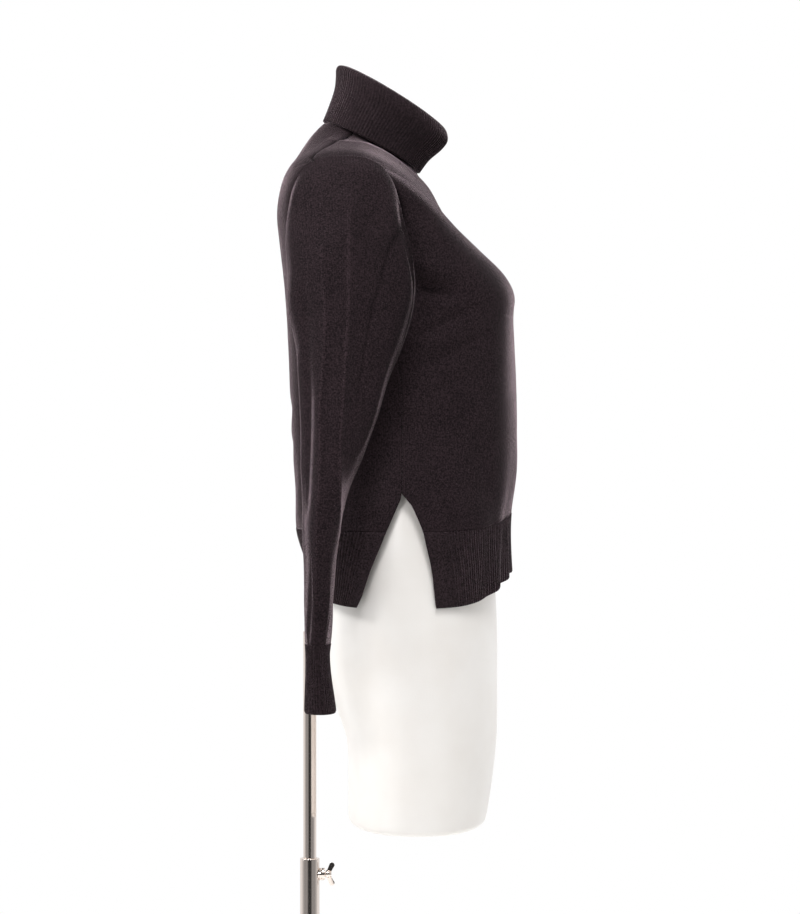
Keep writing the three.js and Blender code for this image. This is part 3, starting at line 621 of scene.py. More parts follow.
def formMaterial(s):
    material, tree, shader = newMaterial("whiteGelCoat", {
        "Roughness": s["roughness"],
        "IOR": 1.5,
        "Coat Weight": s["coat"],
        "Coat Roughness": s["coatRoughness"],
    })
    where = addNode(tree, "ShaderNodeTexCoord").outputs["Object"]
    wave = addNode(tree, "ShaderNodeTexNoise", inputs={
        "Vector": where, "Scale": 1000 / s["waveSize"], "Detail": 2})
    grain = addNode(tree, "ShaderNodeTexNoise", inputs={
        "Vector": where, "Scale": 1000 / s["grainSize"], "Detail": 2})
    ramp = addNode(tree, "ShaderNodeValToRGB", inputs={"Fac": wave.outputs[0]})
    setRamp(ramp, (0.3, s["shade"]), (0.63, s["colour"]))
    tree.links.new(ramp.outputs[0], shader.inputs["Base Color"])
    bump = addNode(tree, "ShaderNodeBump", inputs={
        "Height": grain.outputs[0], "Strength": s["grainStrength"], "Distance": mm})
    tree.links.new(bump.outputs[0], shader.inputs["Normal"])
    return material


# Chrome plate on steel tube: mirror bright, with faint smears that blur it in places.
chromeSettings = {"colour": "#ddd2cb", "roughLow": 0.05, "roughHigh": 0.16, "smearSize": 18}

# Brushed steel: a dull grey shine that blurs what it mirrors.
footSettings = {"colour": "#c9c6c3", "roughLow": 0.24, "roughHigh": 0.4, "smearSize": 6}


def metalMaterial(name, s):
    material, tree, shader = newMaterial(name, {"Metallic": 1, "Base Color": toLinear(s["colour"])})
    where = addNode(tree, "ShaderNodeTexCoord").outputs["Object"]
    smear = addNode(tree, "ShaderNodeTexNoise", inputs={
        "Vector": where, "Scale": 1000 / s["smearSize"], "Detail": 5})
    spread = addNode(tree, "ShaderNodeMapRange", inputs={
        "Value": smear.outputs[0], "To Min": s["roughLow"], "To Max": s["roughHigh"]})
    tree.links.new(spread.outputs[0], shader.inputs["Roughness"])
    return material


whiteForm = formMaterial(formSettings)
chrome = metalMaterial("chromePlate", chromeSettings)
brushedSteel = metalMaterial("brushedSteel", footSettings)
print("materials made")


def finishPiece(piece, material, nodes, body="mast"):
    piece.data.materials.append(material)
    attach(piece, body)
    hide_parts(*nodes)
    return piece


# Front and back
panelSettings = {
    "lowerRows": 90,
    "shoulderRows": 56,
    "frontColumns": 190,
    "backColumns": 150,
    "coarseStep": 6,
    "bunching": 1.15,    # above 1, columns stand closer beside the seams
    # Painted shade along the seams, faint at the side seam and full at the armhole.
    "seamShade": 0.9,
    "seamShadeWidth": 1.8,
    "seamLead": 0.9,          # rows below the armhole where the seam starts to dip
    "sideSeamShare": 0.12,    # the flat side seam shows this much of the armhole seam's dip
    "rollPower": 1.5,
    "sideReach": 1.6,         # above 1, side folds reach further round to the front and back
    "neckFade": 1.5,          # rows below the neck over which folds die out
    "unevenness": 0.7,
    "unevennessSize": 120,
}

# Creases seen from the side: routes in depth and height, on both sides of the body.
# Their lines are painted shade along the troughs.
sideFolds = [
    {"route": [(10, 1236), (-20, 1228), (-48, 1222), (-84, 1226)], "width": (26, 13), "height": -13,
     "ends": 1.3, "line": -0.5},
    {"route": [(-2, 1256), (-30, 1250), (-60, 1240)], "width": (9, 16), "height": 3.5, "ends": 1.2},
    {"route": [(-6, 1216), (-34, 1214), (-70, 1204)], "width": (8, 8), "height": 3.2},
    {"route": [(-14, 1176), (-45, 1190), (-84, 1212)], "width": (8, 6), "height": -3.4, "line": -0.3},
    {"route": [(-20, 1164), (-50, 1176), (-90, 1196)], "width": (7, 9), "height": 2.0},
    {"route": [(-22, 1146), (-56, 1160), (-98, 1184)], "width": (9, 6), "height": -2.8, "line": -0.25},
    {"route": [(-30, 1118), (-66, 1130), (-100, 1150)], "width": (10, 10), "height": -1.6},
    {"route": [(-84, 1080), (-92, 1030), (-96, 985)], "width": (12, 12), "height": -2.2},
    {"route": [(-50, 1060), (-58, 1015), (-62, 975)], "width": (13, 10), "height": 2.0},
    {"route": [(14, 1110), (22, 1050), (26, 1000)], "width": (12, 16), "height": -3.5},
    {"route": [(46, 1110), (52, 1040), (46, 975)], "width": (12, 12), "height": 2.4},
    {"route": [(22, 985), (40, 978), (58, 984)], "width": (5, 5), "height": -1.6},
    {"route": [(76, 1150), (82, 1080), (80, 1010)], "width": (12, 12), "height": -2.2},
]
# Creases across the front and the back: routes in the way to the side and in height.
frontFolds = [
    {"route": [(-70, 1218), (-30, 1210), (10, 1212), (66, 1220)], "width": (12, 16), "height": -2.2},
    {"route": [(-62, 1120), (-50, 1060), (-46, 1000)], "width": (16, 16), "height": 2.0},
    {"route": [(58, 1110), (44, 1050), (40, 990)], "width": (16, 16), "height": 1.8},
    {"route": [(-8, 1080), (-2, 1030), (4, 990)], "width": (13, 13), "height": -1.8},
]
backFolds = [
    {"route": [(-92, 1290), (-60, 1240), (-40, 1180)], "width": (14, 14), "height": -1.8},
    {"route": [(90, 1300), (64, 1250), (44, 1190)], "width": (14, 14), "height": -1.6},
    {"route": [(-60, 1110), (-8, 1098), (58, 1112)], "width": (12, 16), "height": -2.4},
    {"route": [(-52, 1070), (4, 1058), (60, 1072)], "width": (10, 13), "height": -1.8},
    {"route": [(-74, 1050), (-66, 1010), (-60, 975)], "width": (14, 14), "height": 2.0},
    {"route": [(30, 1050), (34, 1010), (40, 975)], "width": (14, 14), "height": 1.8},
]
# Ridge where the shoulder turns up to the neck: routes in degrees from the front and in rows.
# Its line is a painted highlight along the ridge.
shoulderFolds = [
    {"route": [(128, 12.9), (100, 12.8), (76, 12.6), (56, 12.4), (42, 12.3)], "width": (9, 5), "height": 3.0,
     "sharp": True, "ends": 0.4, "line": 0.9},
]
# Flutes of the front hem: angle from the front centre, width in degrees, height.
hemFlutes = [(4, 4, 4.4), (17, 4.5, 4.0), (31, 5, 3.2), (10.5, 3, -3.0), (24, 3.5, -3.0), (39, 4, -1.6)]


fluteTop = 3.2    # row of the body where the flutes end
flutePower = 1.4


# Degrees from the front centre, the same to both sides.
def frontTurn(angle):
    return np.degrees(np.abs((angle + math.pi) % (2 * math.pi) - math.pi))


def fluteHeights(row, angle):
    fade = np.clip(1 - row / fluteTop, 0, 1) ** flutePower
    turn = frontTurn(angle)
    return fade * sum(height * np.exp(-((turn - at) / width) ** 2) for at, width, height in hemFlutes)


def bodySurface(row, angle, raised=0.0):
    s = panelSettings
    base = bodyPoints(row, angle)
    normals = bodyNormals(row, angle)
    sideways = np.clip(np.abs(normals[..., 0]) * s["sideReach"], 0, 1)
    lift = foldField(base[..., 1], base[..., 2], sideFolds) * sideways
    isFront = np.cos(angle) > 0
    across = np.where(isFront, foldField(base[..., 0], base[..., 2], frontFolds),
                      foldField(base[..., 0], base[..., 2], backFolds))
    lift = lift + across * (1 - sideways)
    lift = lift + foldField(frontTurn(angle), row, shoulderFolds, foldSettings["shoulderScale"])
    lift = lift + fluteHeights(row, angle)
    lift = lift + s["unevenness"] * waveField(base, s["unevennessSize"], 4)
    fade = np.clip((cloth["neckRow"] - row) / s["neckFade"], 0, 1)
    return base + normals * (lift * fade + raised)[..., None]


# Painted highlight along the shoulder ridge and painted shade along the side creases.
def bodyPaintedLines(row, angle):
    base = bodyPoints(row, angle)
    shoulder = paintedFoldLines(frontTurn(angle), row, shoulderFolds, foldSettings["shoulderScale"])
    return paintedFoldLines(base[..., 1], base[..., 2], sideFolds) + shoulder


# Points of a panel, whose seams lie open.
def panelGrid(rows, isFront, count, raised):
    edge = edgeAngles(rows, isFront)
    reach = besideSeam(rows, edge, -1) if isFront else math.pi - besideSeam(rows, edge, 1)
    share = np.linspace(-1, 1, count + 1)
    share = np.sign(share) * (1 - (1 - np.abs(share)) ** panelSettings["bunching"])
    angle = share[None, :] * reach[:, None]
    if not isFront:
        angle = math.pi - angle
    row = np.broadcast_to(rows[:, None], angle.shape)
    return row, angle, bodySurface(row, angle, raised)


# Outer points with their edges rolled in at the seams, and the painted light and shade at each: painted fold
# lines, and painted shade along the seams.
def rolledPanel(rows, isFront, count):
    s = panelSettings
    row, angle, points = panelGrid(rows, isFront, count, 0.0)
    onFirstHalf = np.arange(count + 1)[None, :, None] < count / 2
    fromEdge = np.linalg.norm(points - np.where(onFirstHalf, points[:, :1], points[:, -1:]), axis=2)
    deep = np.clip(row - armholeRow[0] + s["seamLead"], s["sideSeamShare"], 1)
    roll = cloth["edgeRound"] * deep * np.exp(-(fromEdge / cloth["edgeReach"]) ** s["rollPower"])
    seamShade = s["seamShade"] * deep * np.exp(-(fromEdge / s["seamShadeWidth"]) ** 2)
    return points - bodyNormals(row, angle) * roll[..., None], bodyPaintedLines(row, angle) - seamShade


def panelRows():
    lower = np.linspace(cloth["weltRow"], armholeRow[0], panelSettings["lowerRows"], endpoint=False)
    upper = np.linspace(armholeRow[-1], cloth["neckRow"], panelSettings["shoulderRows"] + 1)[1:]
    return np.concatenate([lower, armholeRow, upper])


def makePanel(name, isFront):
    rows = panelRows()
    count = panelSettings["frontColumns" if isFront else "backColumns"]
    outer, tone = rolledPanel(rows, isFront, count)
    coarse = np.unique(np.append(np.arange(0, len(rows), panelSettings["coarseStep"]), len(rows) - 1))
    inner = panelGrid(rows[coarse], isFront, count // 5, -cloth["thickness"])[-1]
    up = cloth["seamGap"] / 2
    outer[0, :, 2] += up
    inner[0, :, 2] += up
    lean = np.array([0, math.sin(cloth["neckLean"]), -math.cos(cloth["neckLean"])]) * up
    outer[-1] += lean
    inner[-1] += lean
    panel = openWall(name, outer, inner)
    setPaintedShading(panel, tone)
    return panel


frontPanel = makePanel("frontPanel", True)
finishPiece(frontPanel, jersey, ["front_panel"])
backPanel = makePanel("backPanel", False)
finishPiece(backPanel, jersey, ["back_panel"])
print("front and back made")


# Welts: rib knit bands with a plain strip beside each slit
ribSettings = {
    "pointsPerRib": 6,
    "depth": 1.1,
    "roundness": 0.7,     # below 1, ribs are broader than the valleys between them
    "middle": 0.6,        # the share of the depth that lies below the knit's own surface
    "frontRibs": 100,
    "backRibs": 80,
    "cuffRibs": 44,
    "cuffPointsPerRib": 8,
    "collarRibs": 108,
    "weltRows": 26,
    "cuffRows": 30,
    "plainBand": 0.045,
    "bandEdge": 80,       # how sharply the ribs begin beside the plain strip
    "edgeFade": 14,       # how soon they rise from the free edge, where they are lower
    "edgeShare": 0.35,
    "edgeRoll": 0.8,
    "edgeRollWidth": 0.012,
}


# Height of rounded ribs with narrow valleys between them, at a rib number with a fraction.
def ribProfile(at):
    s = ribSettings
    return s["depth"] * (np.abs(np.sin(math.pi * at)) ** s["roundness"] - s["middle"])


# Ribs with a lower and rolled free edge, where the share of the way to the seam is 0.
def edgedRibs(ribs, share):
    s = ribSettings
    rise = np.clip(share * s["edgeFade"] + s["edgeShare"], 0, 1)
    return ribs * rise - s["edgeRoll"] * np.exp(-share / s["edgeRollWidth"])


def weltGrid(rows, isFront, count, raised):
    edge = edgeAngles(rows, isFront)
    reach = edge if isFront else math.pi - edge
    angle = np.linspace(-1, 1, count + 1)[None, :] * reach[:, None]
    if not isFront:
        angle = math.pi - angle
    row = np.broadcast_to(rows[:, None], angle.shape)
    return bodySurface(row, angle, raised)


def makeWelt(name, isFront, ribs):
    s = ribSettings
    rows = np.linspace(0, cloth["weltRow"], s["weltRows"])
    count = ribs * s["pointsPerRib"]
    at = np.linspace(0, 1, count + 1)
    band = np.clip((np.minimum(at, 1 - at) - s["plainBand"]) * s["bandEdge"], 0, 1)
    raised = edgedRibs((ribProfile(at * ribs) * band)[None, :], (rows / rows[-1])[:, None])
    outer = weltGrid(rows, isFront, count, raised)
    inner = weltGrid(rows[::5], isFront, count // 8, -cloth["thickness"])
    outer[-1, :, 2] -= cloth["seamGap"] / 2
    inner[-1, :, 2] -= cloth["seamGap"] / 2
    return openWall(name, outer, inner)


frontWelt = makeWelt("frontWelt", True, ribSettings["frontRibs"])
finishPiece(frontWelt, ribKnit, ["front_welt"])
backWelt = makeWelt("backWelt", False, ribSettings["backRibs"])
finishPiece(backWelt, ribKnit, ["back_welt"])
print("welts made")


# Sleeves
sleeveTable = columns(sleeveRings, sleeveNames)
sleeveSettings = {
    "rows": 190,
    "coarseStep": 8,
    "unevenness": 0.6,
    "unevennessSize": 70,
    "bunching": 1.15,    # above 1, rings stand closer below the shoulder
    "settleRings": 0.8,
    "cuffShare": 0.12,      # the share of the folds that is left at the cuff
    # Painted shade on the armhole seam's row and on the sleeve's first row.
    "seamShades": (-0.9, -0.5),
    "frontSideShade": 0.84,    # painted shade, with less sheen, on the sleeve's front side that faces the body
    "frontSideShadeTurn": 80,
    "frontSideShadeWidth": 34,
    "frontSideShadeStart": 1.5,
}

# Creases along a sleeve: routes in degrees round it (180 is its outer line) and ring numbers.
# Their lines are painted highlights along the two ridges and painted shade along the valley.
sleeveFolds = [
    {"route": [(181, 1.7), (181, 3), (180, 3.9), (177, 5), (174, 6), (167, 7), (149, 8), (121, 9),
               (106, 10.4)],
     "width": (8, 24), "height": 6.5, "sharp": True, "ends": 0.5, "line": 0.9},
    {"route": [(205, 2.7), (205, 3.4), (203, 5), (205, 6), (199, 7), (191, 8), (185, 9.4), (181, 11)],
     "width": (7, 12), "height": 4.2, "sharp": True, "ends": 0.6, "line": 0.7},
    {"route": [(108, 1.3), (118, 1.7), (140, 2.6), (151, 3.9), (152, 4.6), (150, 6.2)],
     "width": (16, 9), "height": -7, "sharp": True, "ends": 0.4, "line": -0.6},
    {"route": [(168, 3.4), (163, 5), (158, 6.6)], "width": (8, 8), "height": -2.0},
    {"route": [(104, 2.6), (112, 3.8), (116, 5.4), (112, 7)], "width": (12, 12), "height": 3.4},
    {"route": [(232, 3.2), (230, 5.5), (226, 8.5)], "width": (11, 9), "height": -2.8},
    {"route": [(262, 4.5), (256, 7.0), (250, 11)], "width": (10, 10), "height": 2.2},
    {"route": [(24, 2.0), (32, 5.0), (40, 9.0)], "width": (14, 14), "height": 3.5},
    {"route": [(330, 3.0), (322, 6.0), (318, 10.5)], "width": (14, 14), "height": -3.5},
    {"route": [(62, 4.5), (68, 7.0), (72, 11.0)], "width": (10, 10), "height": -2.0},
    {"route": [(296, 2.5), (290, 6.0), (288, 10.0)], "width": (11, 11), "height": 2.4},
    {"route": [(150, 9.6), (166, 10.5), (178, 11.7)], "width": (12, 9), "height": -2.2},
    {"route": [(196, 10.2), (214, 11.2), (226, 11.9)], "width": (10, 10), "height": -1.8},
]


def sleevePoints(at, angle):
    ring = ringsAt(sleeveTable, at)
    power = 2 / ring["square"]
    across = np.sign(np.cos(angle)) * np.abs(np.cos(angle)) ** power
    along = np.sign(np.sin(angle)) * np.abs(np.sin(angle)) ** power
    outer = (1 - across) / 2
    return np.stack([
        -(ring["inX"] + (ring["outX"] - ring["inX"]) * outer),
        (ring["frontY"] + ring["backY"]) / 2 - (ring["backY"] - ring["frontY"]) / 2 * along,
        ring["inZ"] + (ring["outZ"] - ring["inZ"]) * outer,
    ], -1)


def sleeveNormals(at, angle):
    at = np.clip(at, 0.01, cuffEnd - 0.01)
    onAxis = np.abs(np.sin(2 * angle)) < 0.04
    return -surfaceNormals(sleevePoints, at, angle + np.where(onAxis, 0.03, 0))


def sleeveSurface(at, angle, raised=0.0):
    base = sleevePoints(at, angle)
    turn = np.degrees(angle) % 360
    s = sleeveSettings
    settle = np.clip(at / s["settleRings"], 0, 1) * np.clip((cuffTop + 0.5 - at) / 1.2, s["cuffShare"], 1)
    uneven = s["unevenness"] * waveField(base, s["unevennessSize"], 7)
    lift = foldField(turn, at, sleeveFolds, foldSettings["sleeveScale"]) * settle
    lift = lift + uneven * np.clip(at, 0, 1)
    return base + sleeveNormals(at, angle) * (lift + raised)[..., None]


# The armhole seam runs up the front edge and down the back edge.
seamRow = np.concatenate([armholeRow, armholeRow[-2:0:-1]])
seamAngle = np.concatenate([armholeFront, armholeBack[-2:0:-1]])
seamPoints = bodySurface(seamRow, seamAngle)
seamBodyNormals = bodyNormals(seamRow, seamAngle)


def sleeveColumnAngles():
    ring = {name: values[0] for name, values in sleeveTable.items()}
    spots = bodyPoints(seamRow, seamAngle)
    depth = (ring["frontY"] + ring["backY"] - 2 * spots[:, 1]) / (ring["backY"] - ring["frontY"])
    height = (ring["inZ"] + ring["outZ"] - 2 * spots[:, 2]) / (ring["outZ"] - ring["inZ"])
    power = ring["square"] / 2
    depth = np.sign(depth) * np.abs(depth) ** power
    height = np.sign(height) * np.abs(height) ** power
    return np.unwrap(np.arctan2(depth, height))


def makeSleeve(name, isLeft):
    s = sleeveSettings
    angles = sleeveColumnAngles()
    at = cuffTop * np.linspace(0, 1, s["rows"]) ** s["bunching"]
    at, angle = np.broadcast_arrays(at[:, None], angles[None, :])
    outer = sleeveSurface(at, angle)
    inner = sleeveSurface(at, angle, -cloth["thickness"])
    start = unit(outer[0] - seamPoints)
    along = unit(np.roll(seamPoints, -1, 0) - np.roll(seamPoints, 1, 0))
    walls = unit(np.cross(start, along))
    middle = seamPoints.mean(0)
    walls *= np.where(np.sum(walls * (seamPoints - middle), 1, keepdims=True) < 0, -1, 1)
    both = unit(seamBodyNormals + walls)
    step = -both * cloth["thickness"] / np.maximum(np.sum(both * walls, 1, keepdims=True), 0.5)
    across = unit(np.cross(along, step))
    across *= np.where(np.sum(across * start, 1, keepdims=True) < 0, -1, 1)
    seamOuter = seamPoints + across * cloth["armholeGap"] / 2 - seamBodyNormals * cloth["edgeRound"]
    seamInner = seamPoints + across * cloth["armholeGap"] / 2 + step
    outer = np.concatenate([seamOuter[None], outer])
    coarse = np.unique(np.append(np.arange(0, len(inner), s["coarseStep"]), len(inner) - 1))
    inner = np.concatenate([seamInner[None], inner[coarse]])[:, ::3]
    outer[-1, :, 2] += cloth["seamGap"] / 2
    inner[-1, :, 2] += cloth["seamGap"] / 2
    if isLeft:
        outer, inner = outer * [-1, 1, 1], inner * [-1, 1, 1]
    sleeve = tubeWall(name, outer, inner, flip=not isLeft)
    setPaintedShading(sleeve, sleevePaintedLight(at, angle))
    return sleeve


# Painted light and shade of a sleeve: its fold lines, painted shade on its front side, and painted shade at
# the armhole seam.
def sleevePaintedLight(at, angle):
    s = sleeveSettings
    turn = np.degrees(angle) % 360
    frontShade = np.clip(at / s["frontSideShadeStart"], 0, 1) * np.clip((cuffTop + 0.6 - at) / 1.2, 0, 1)
    frontShade = s["frontSideShade"] * frontShade * np.exp(-((turn - s["frontSideShadeTurn"]) / s["frontSideShadeWidth"]) ** 2)
    tone = paintedFoldLines(turn, at, sleeveFolds, foldSettings["sleeveScale"]) - frontShade
    seamShade, firstRowShade = s["seamShades"]
    tone[0] = firstRowShade
    return np.concatenate([np.full((1, tone.shape[1]), seamShade), tone])


def makeCuff(name, isLeft):
    s = ribSettings
    count = s["cuffRibs"] * s["cuffPointsPerRib"]
    rows = np.linspace(cuffTop, cuffEnd, s["cuffRows"])
    angle = 2 * math.pi * np.arange(count) / count
    at, turn = np.broadcast_arrays(rows[:, None], angle[None, :])
    fromEnd = (cuffEnd - rows)[:, None] / (cuffEnd - cuffTop)
    raised = edgedRibs(ribProfile(turn / (2 * math.pi) * s["cuffRibs"]), fromEnd)
    outer = sleeveSurface(at, turn, raised)
    inner = sleeveSurface(at[::4], turn[::4], -cloth["thickness"])[:, ::6]
    inner[-1] = sleeveSurface(at[-1:], turn[-1:], -cloth["thickness"])[0, ::6]
    outer[0, :, 2] -= cloth["seamGap"] / 2
    inner[0, :, 2] -= cloth["seamGap"] / 2
    if isLeft:
        outer, inner = outer * [-1, 1, 1], inner * [-1, 1, 1]
    return tubeWall(name, outer, inner, flip=not isLeft)


for side in ("Right", "Left"):
    sleeve = makeSleeve("sleeve" + side, side == "Left")
    finishPiece(sleeve, jersey, ["sleeve_" + side.lower()])
    cuff = makeCuff("cuff" + side, side == "Left")
    finishPiece(cuff, ribKnit, ["cuff_" + side.lower()])
print("sleeves and cuffs made")


# Collar: one rib knit strip that is sewn to the neckline and folded over to the outside
collarSettings = {
    "rows": 44,
    "insideRows": 9,
    "underRows": 15,
    "coarseStep": 9,
    "lowRibs": 0.2,      # the ribs' share of their depth at the fold, where they are stretched
    "moreRibs": 0.6,     # and what is added to it below
    "foldRings": 1.2,
    "wobble": 0.8,
    "wobbleSize": 90,
    "seamAllowance": 1.1,    # in thicknesses, how far inside the seam's inner edge lies
}


# Points of a leaning collar: rows of a table, read at row numbers and angles.
def collarPoints(rows, at, angle, raised=0.0):
    s = collarSettings
    table = columns([neckRing(*row) for row in rows], ringNames)
    at, angle = np.broadcast_arrays(at[:, None], angle[None, :])
    base = ringPoints(ringsAt(table, at), angle)
    centre = ringPoints({**ringsAt(table, at), "halfWidth": 0.0}, np.full(angle.shape, math.pi / 2))
    wobble = s["wobble"] * waveField(base, s["wobbleSize"], 11)
    return base + unit(base - centre) * (raised + wobble)[..., None]


def makeCollar():
    s = collarSettings
    count = ribSettings["collarRibs"] * ribSettings["pointsPerRib"]
    fine = 2 * math.pi * np.arange(count) / count - cloth["shoulderSeam"]
    coarse = fine[::s["coarseStep"]]
    rows = np.linspace(0, len(collarOuter) - 1, s["rows"])
    ribs = ribProfile(np.arange(count) / ribSettings["pointsPerRib"])[None, :]
    belowFold = np.clip((rows[-1] - rows) / s["foldRings"], 0, 1)[:, None]
    ribbed = collarPoints(collarOuter, rows, fine, ribs * (s["lowRibs"] + s["moreRibs"] * belowFold))
    lean = np.array([0, -math.sin(cloth["neckLean"]), math.cos(cloth["neckLean"])])
    up = lean * cloth["seamGap"] / 2
    seam = np.array(neckSeamRings[-1])
    inward = cloth["thickness"] * s["seamAllowance"] * np.array([0, 1, 0, 1, 1])
    seamOuter = collarPoints([seam, seam], np.array([0.0]), coarse) + up
    seamInner = collarPoints([seam - inward, seam - inward], np.array([0.0]), coarse) + up
    inside = collarPoints(collarInside, np.linspace(0, len(collarInside) - 1, s["insideRows"]), coarse)
    under = collarPoints(collarUnder, np.linspace(0, len(collarUnder) - 1, s["underRows"]), coarse)
    plain = np.concatenate([inside, seamInner, seamOuter, under])
    wall = Wall()
    a = wall.add(ribbed, knitMap(ribbed, True), closed=True)
    b = wall.add(plain, knitMap(plain, True), closed=True)
    wall.joinEdges(b[0], a[-1])
    wall.joinEdges(a[0], b[-1])
    return wall.build("foldedCollar")


collar = finishPiece(makeCollar(), collarKnit, ["collar"])
print("collar made")


# Dress form, one smooth closed shell
formRings = [
    [640, -88, 640, 50, 144, -18, 640, 2.3, 2.3, 2],
    [643, -93.5, 643, 55.5, 148.5, -18, 643, 2.3, 2.3, 2],
    [652, -97, 652, 58, 151.5, -18, 652, 2.3, 2.3, 2],
    [690, -103, 690, 58, 156, -18, 690, 2.3, 2.3, 2],
    [732, -107.5, 732, 59.5, 159.5, -17, 732, 2.3, 2.3, 2],
    [768, -108.6, 768, 71, 161.5, -15, 768, 2.25, 2.25, 2],
    [806, -108.6, 806, 83, 162.5, -13, 806, 2.2, 2.2, 2],
    [842, -108.6, 842, 88, 163.5, -12, 842, 2.2, 2.2, 2],
    [890, -107, 890, 84.5, 163.5, -11, 890, 2.2, 2.2, 2],
    [940, -102, 940, 79, 160, -9, 940, 2.2, 2.2, 2],
    [990, -92, 990, 69, 152, -7, 990, 2.2, 2.2, 2],
    [1030, -87, 1030, 64, 139, -5, 1030, 2.25, 2.25, 2],
    [1080, -92, 1080, 74, 132, -2, 1080, 2.35, 2.35, 2],
    [1130, -101, 1130, 92, 135, 2, 1130, 2.5, 2.5, 2],
    [1180, -110, 1180, 108, 143, 10, 1180, 2.7, 2.8, 2],
    [1214, -114, 1228, 116, 148, 26, 1222, 2.7, 3, 2],
    [1238, -105, 1270, 122, 154, 40, 1262, 2.5, 3.2, 2],
    [1258, -87, 1304, 126, 163, 50, 1305, 2.4, 3.3, 2],
    [1276, -68, 1331, 124, 169, 56, 1340, 2.3, 3.1, 2],
    [1294, -51.5, 1351, 118.5, 152, 57, 1370, 2.2, 2.8, 2],
    [1312, -41, 1371, 108, 124, 52, 1380, 2.1, 2.4, 1.8],
    [1339, -26, 1393, 92, 83, 42, 1386, 2.05, 2.1, 1.4],
]
neckHeights = [[-9, 56], [5, 47.5], [20, 45.5], [38, 46], [43, 43]]
formDetail = {"columns": 128, "rows": 150, "footRings": 14, "domeShares": [0.02, 0.35, 0.7], "domeRise": 1.8}


# The form's first two rings are its rounded foot, and its neck ends in a low dome.
def makeForm(s):
    table = columns(formRings + [neckRing(h, r, h, r, r) for h, r in neckHeights], ringNames)
    last = len(table["sideZ"]) - 1
    rows = np.concatenate([np.linspace(0, 2, s["footRings"]), np.linspace(2, last, s["rows"])[1:]])
    angle = 2 * math.pi * np.arange(s["columns"]) / s["columns"]
    at, turn = np.broadcast_arrays(rows[:, None], angle[None, :])
    grid = ringPoints(ringsAt(table, at), turn)
    foot = grid[0].mean(0) * np.ones((1, s["columns"], 3))
    foot[..., 2] = grid[0, 0, 2]
    top = grid[-1].mean(0) * np.ones((1, s["columns"], 3))
    shares = np.array(s["domeShares"])[:, None, None]
    rise = np.array([0, -s["domeRise"] / 2, s["domeRise"]]) * (1 - shares[::-1] ** 2)
    lowCap = foot + (grid[:1] - foot) * shares
    highCap = top + (grid[-1:] - top) * shares[::-1] + rise
    grid = np.concatenate([lowCap, grid, highCap])
    wall = Wall()
    wall.add(grid, knitMap(grid, True), closed=True)
    form = wall.build("dressForm")
    lastRing = (len(grid) - 1) * s["columns"]
    closeEnds(form, [range(s["columns"]), range(lastRing, lastRing + s["columns"])])
    return form


# Closes a shell's first and last ring with a face each.
def closeEnds(piece, edges):
    shape = bmesh.new()
    shape.from_mesh(piece.data)
    shape.verts.ensure_lookup_table()
    for order, edge in enumerate(edges):
        ring = [shape.verts[i] for i in edge]
        shape.faces.new(ring[::-1] if order == 0 else ring)
    bmesh.ops.recalc_face_normals(shape, faces=shape.faces)
    shape.to_mesh(piece.data)
    shape.free()


form = makeForm(formDetail)
finishPiece(form, whiteForm, ["dress_form"])
print("dress form made")


# Stand: turned pieces with rounded edges
def lathe(name, profile, centre, node, segments=72, body="stand", material=chrome):
    angle = 2 * math.pi * np.arange(segments) / segments
    radius, height = np.array(profile, float).T[:, :, None]
    grid = np.stack([radius * np.cos(angle), radius * np.sin(angle), height + 0 * angle], -1) + centre
    wall = Wall()
    wall.add(grid, knitMap(grid, True), closed=True)
    piece = wall.build(name)
    if profile[0] != profile[-1]:
        last = (len(profile) - 1) * segments
        closeEnds(piece, [range(segments), range(last, last + segments)])
    else:
        weld(piece)
    return finishPiece(piece, material, [node], body)


# Joins points that lie in one place and turns all faces outward.
def weld(piece):
    shape = bmesh.new()
    shape.from_mesh(piece.data)
    bmesh.ops.remove_doubles(shape, verts=shape.verts, dist=1e-6)
    bmesh.ops.recalc_face_normals(shape, faces=shape.faces)
    shape.to_mesh(piece.data)
    shape.free()


# Profile through corners, each rounded by a small arc.
def rounded(corners, radius, steps=4, loop=False):
    points = []
    count = len(corners)
    for i, corner in enumerate(corners):
        if not loop and i in (0, count - 1):
            points.append(corner)
            continue
        here = np.array(corner, float)
        before = np.array(corners[i - 1], float) - here
        after = np.array(corners[(i + 1) % count], float) - here
        cut = min(radius, np.linalg.norm(before) / 2.2, np.linalg.norm(after) / 2.2)
        a = here + before / np.linalg.norm(before) * cut
        b = here + after / np.linalg.norm(after) * cut
        for t in np.linspace(0, 1, steps + 1):
            points.append(tuple((1 - t) ** 2 * a + 2 * t * (1 - t) * here + t * t * b))
    if loop:
        points.append(points[0])
    return [tuple(float(c) for c in p) for p in points]


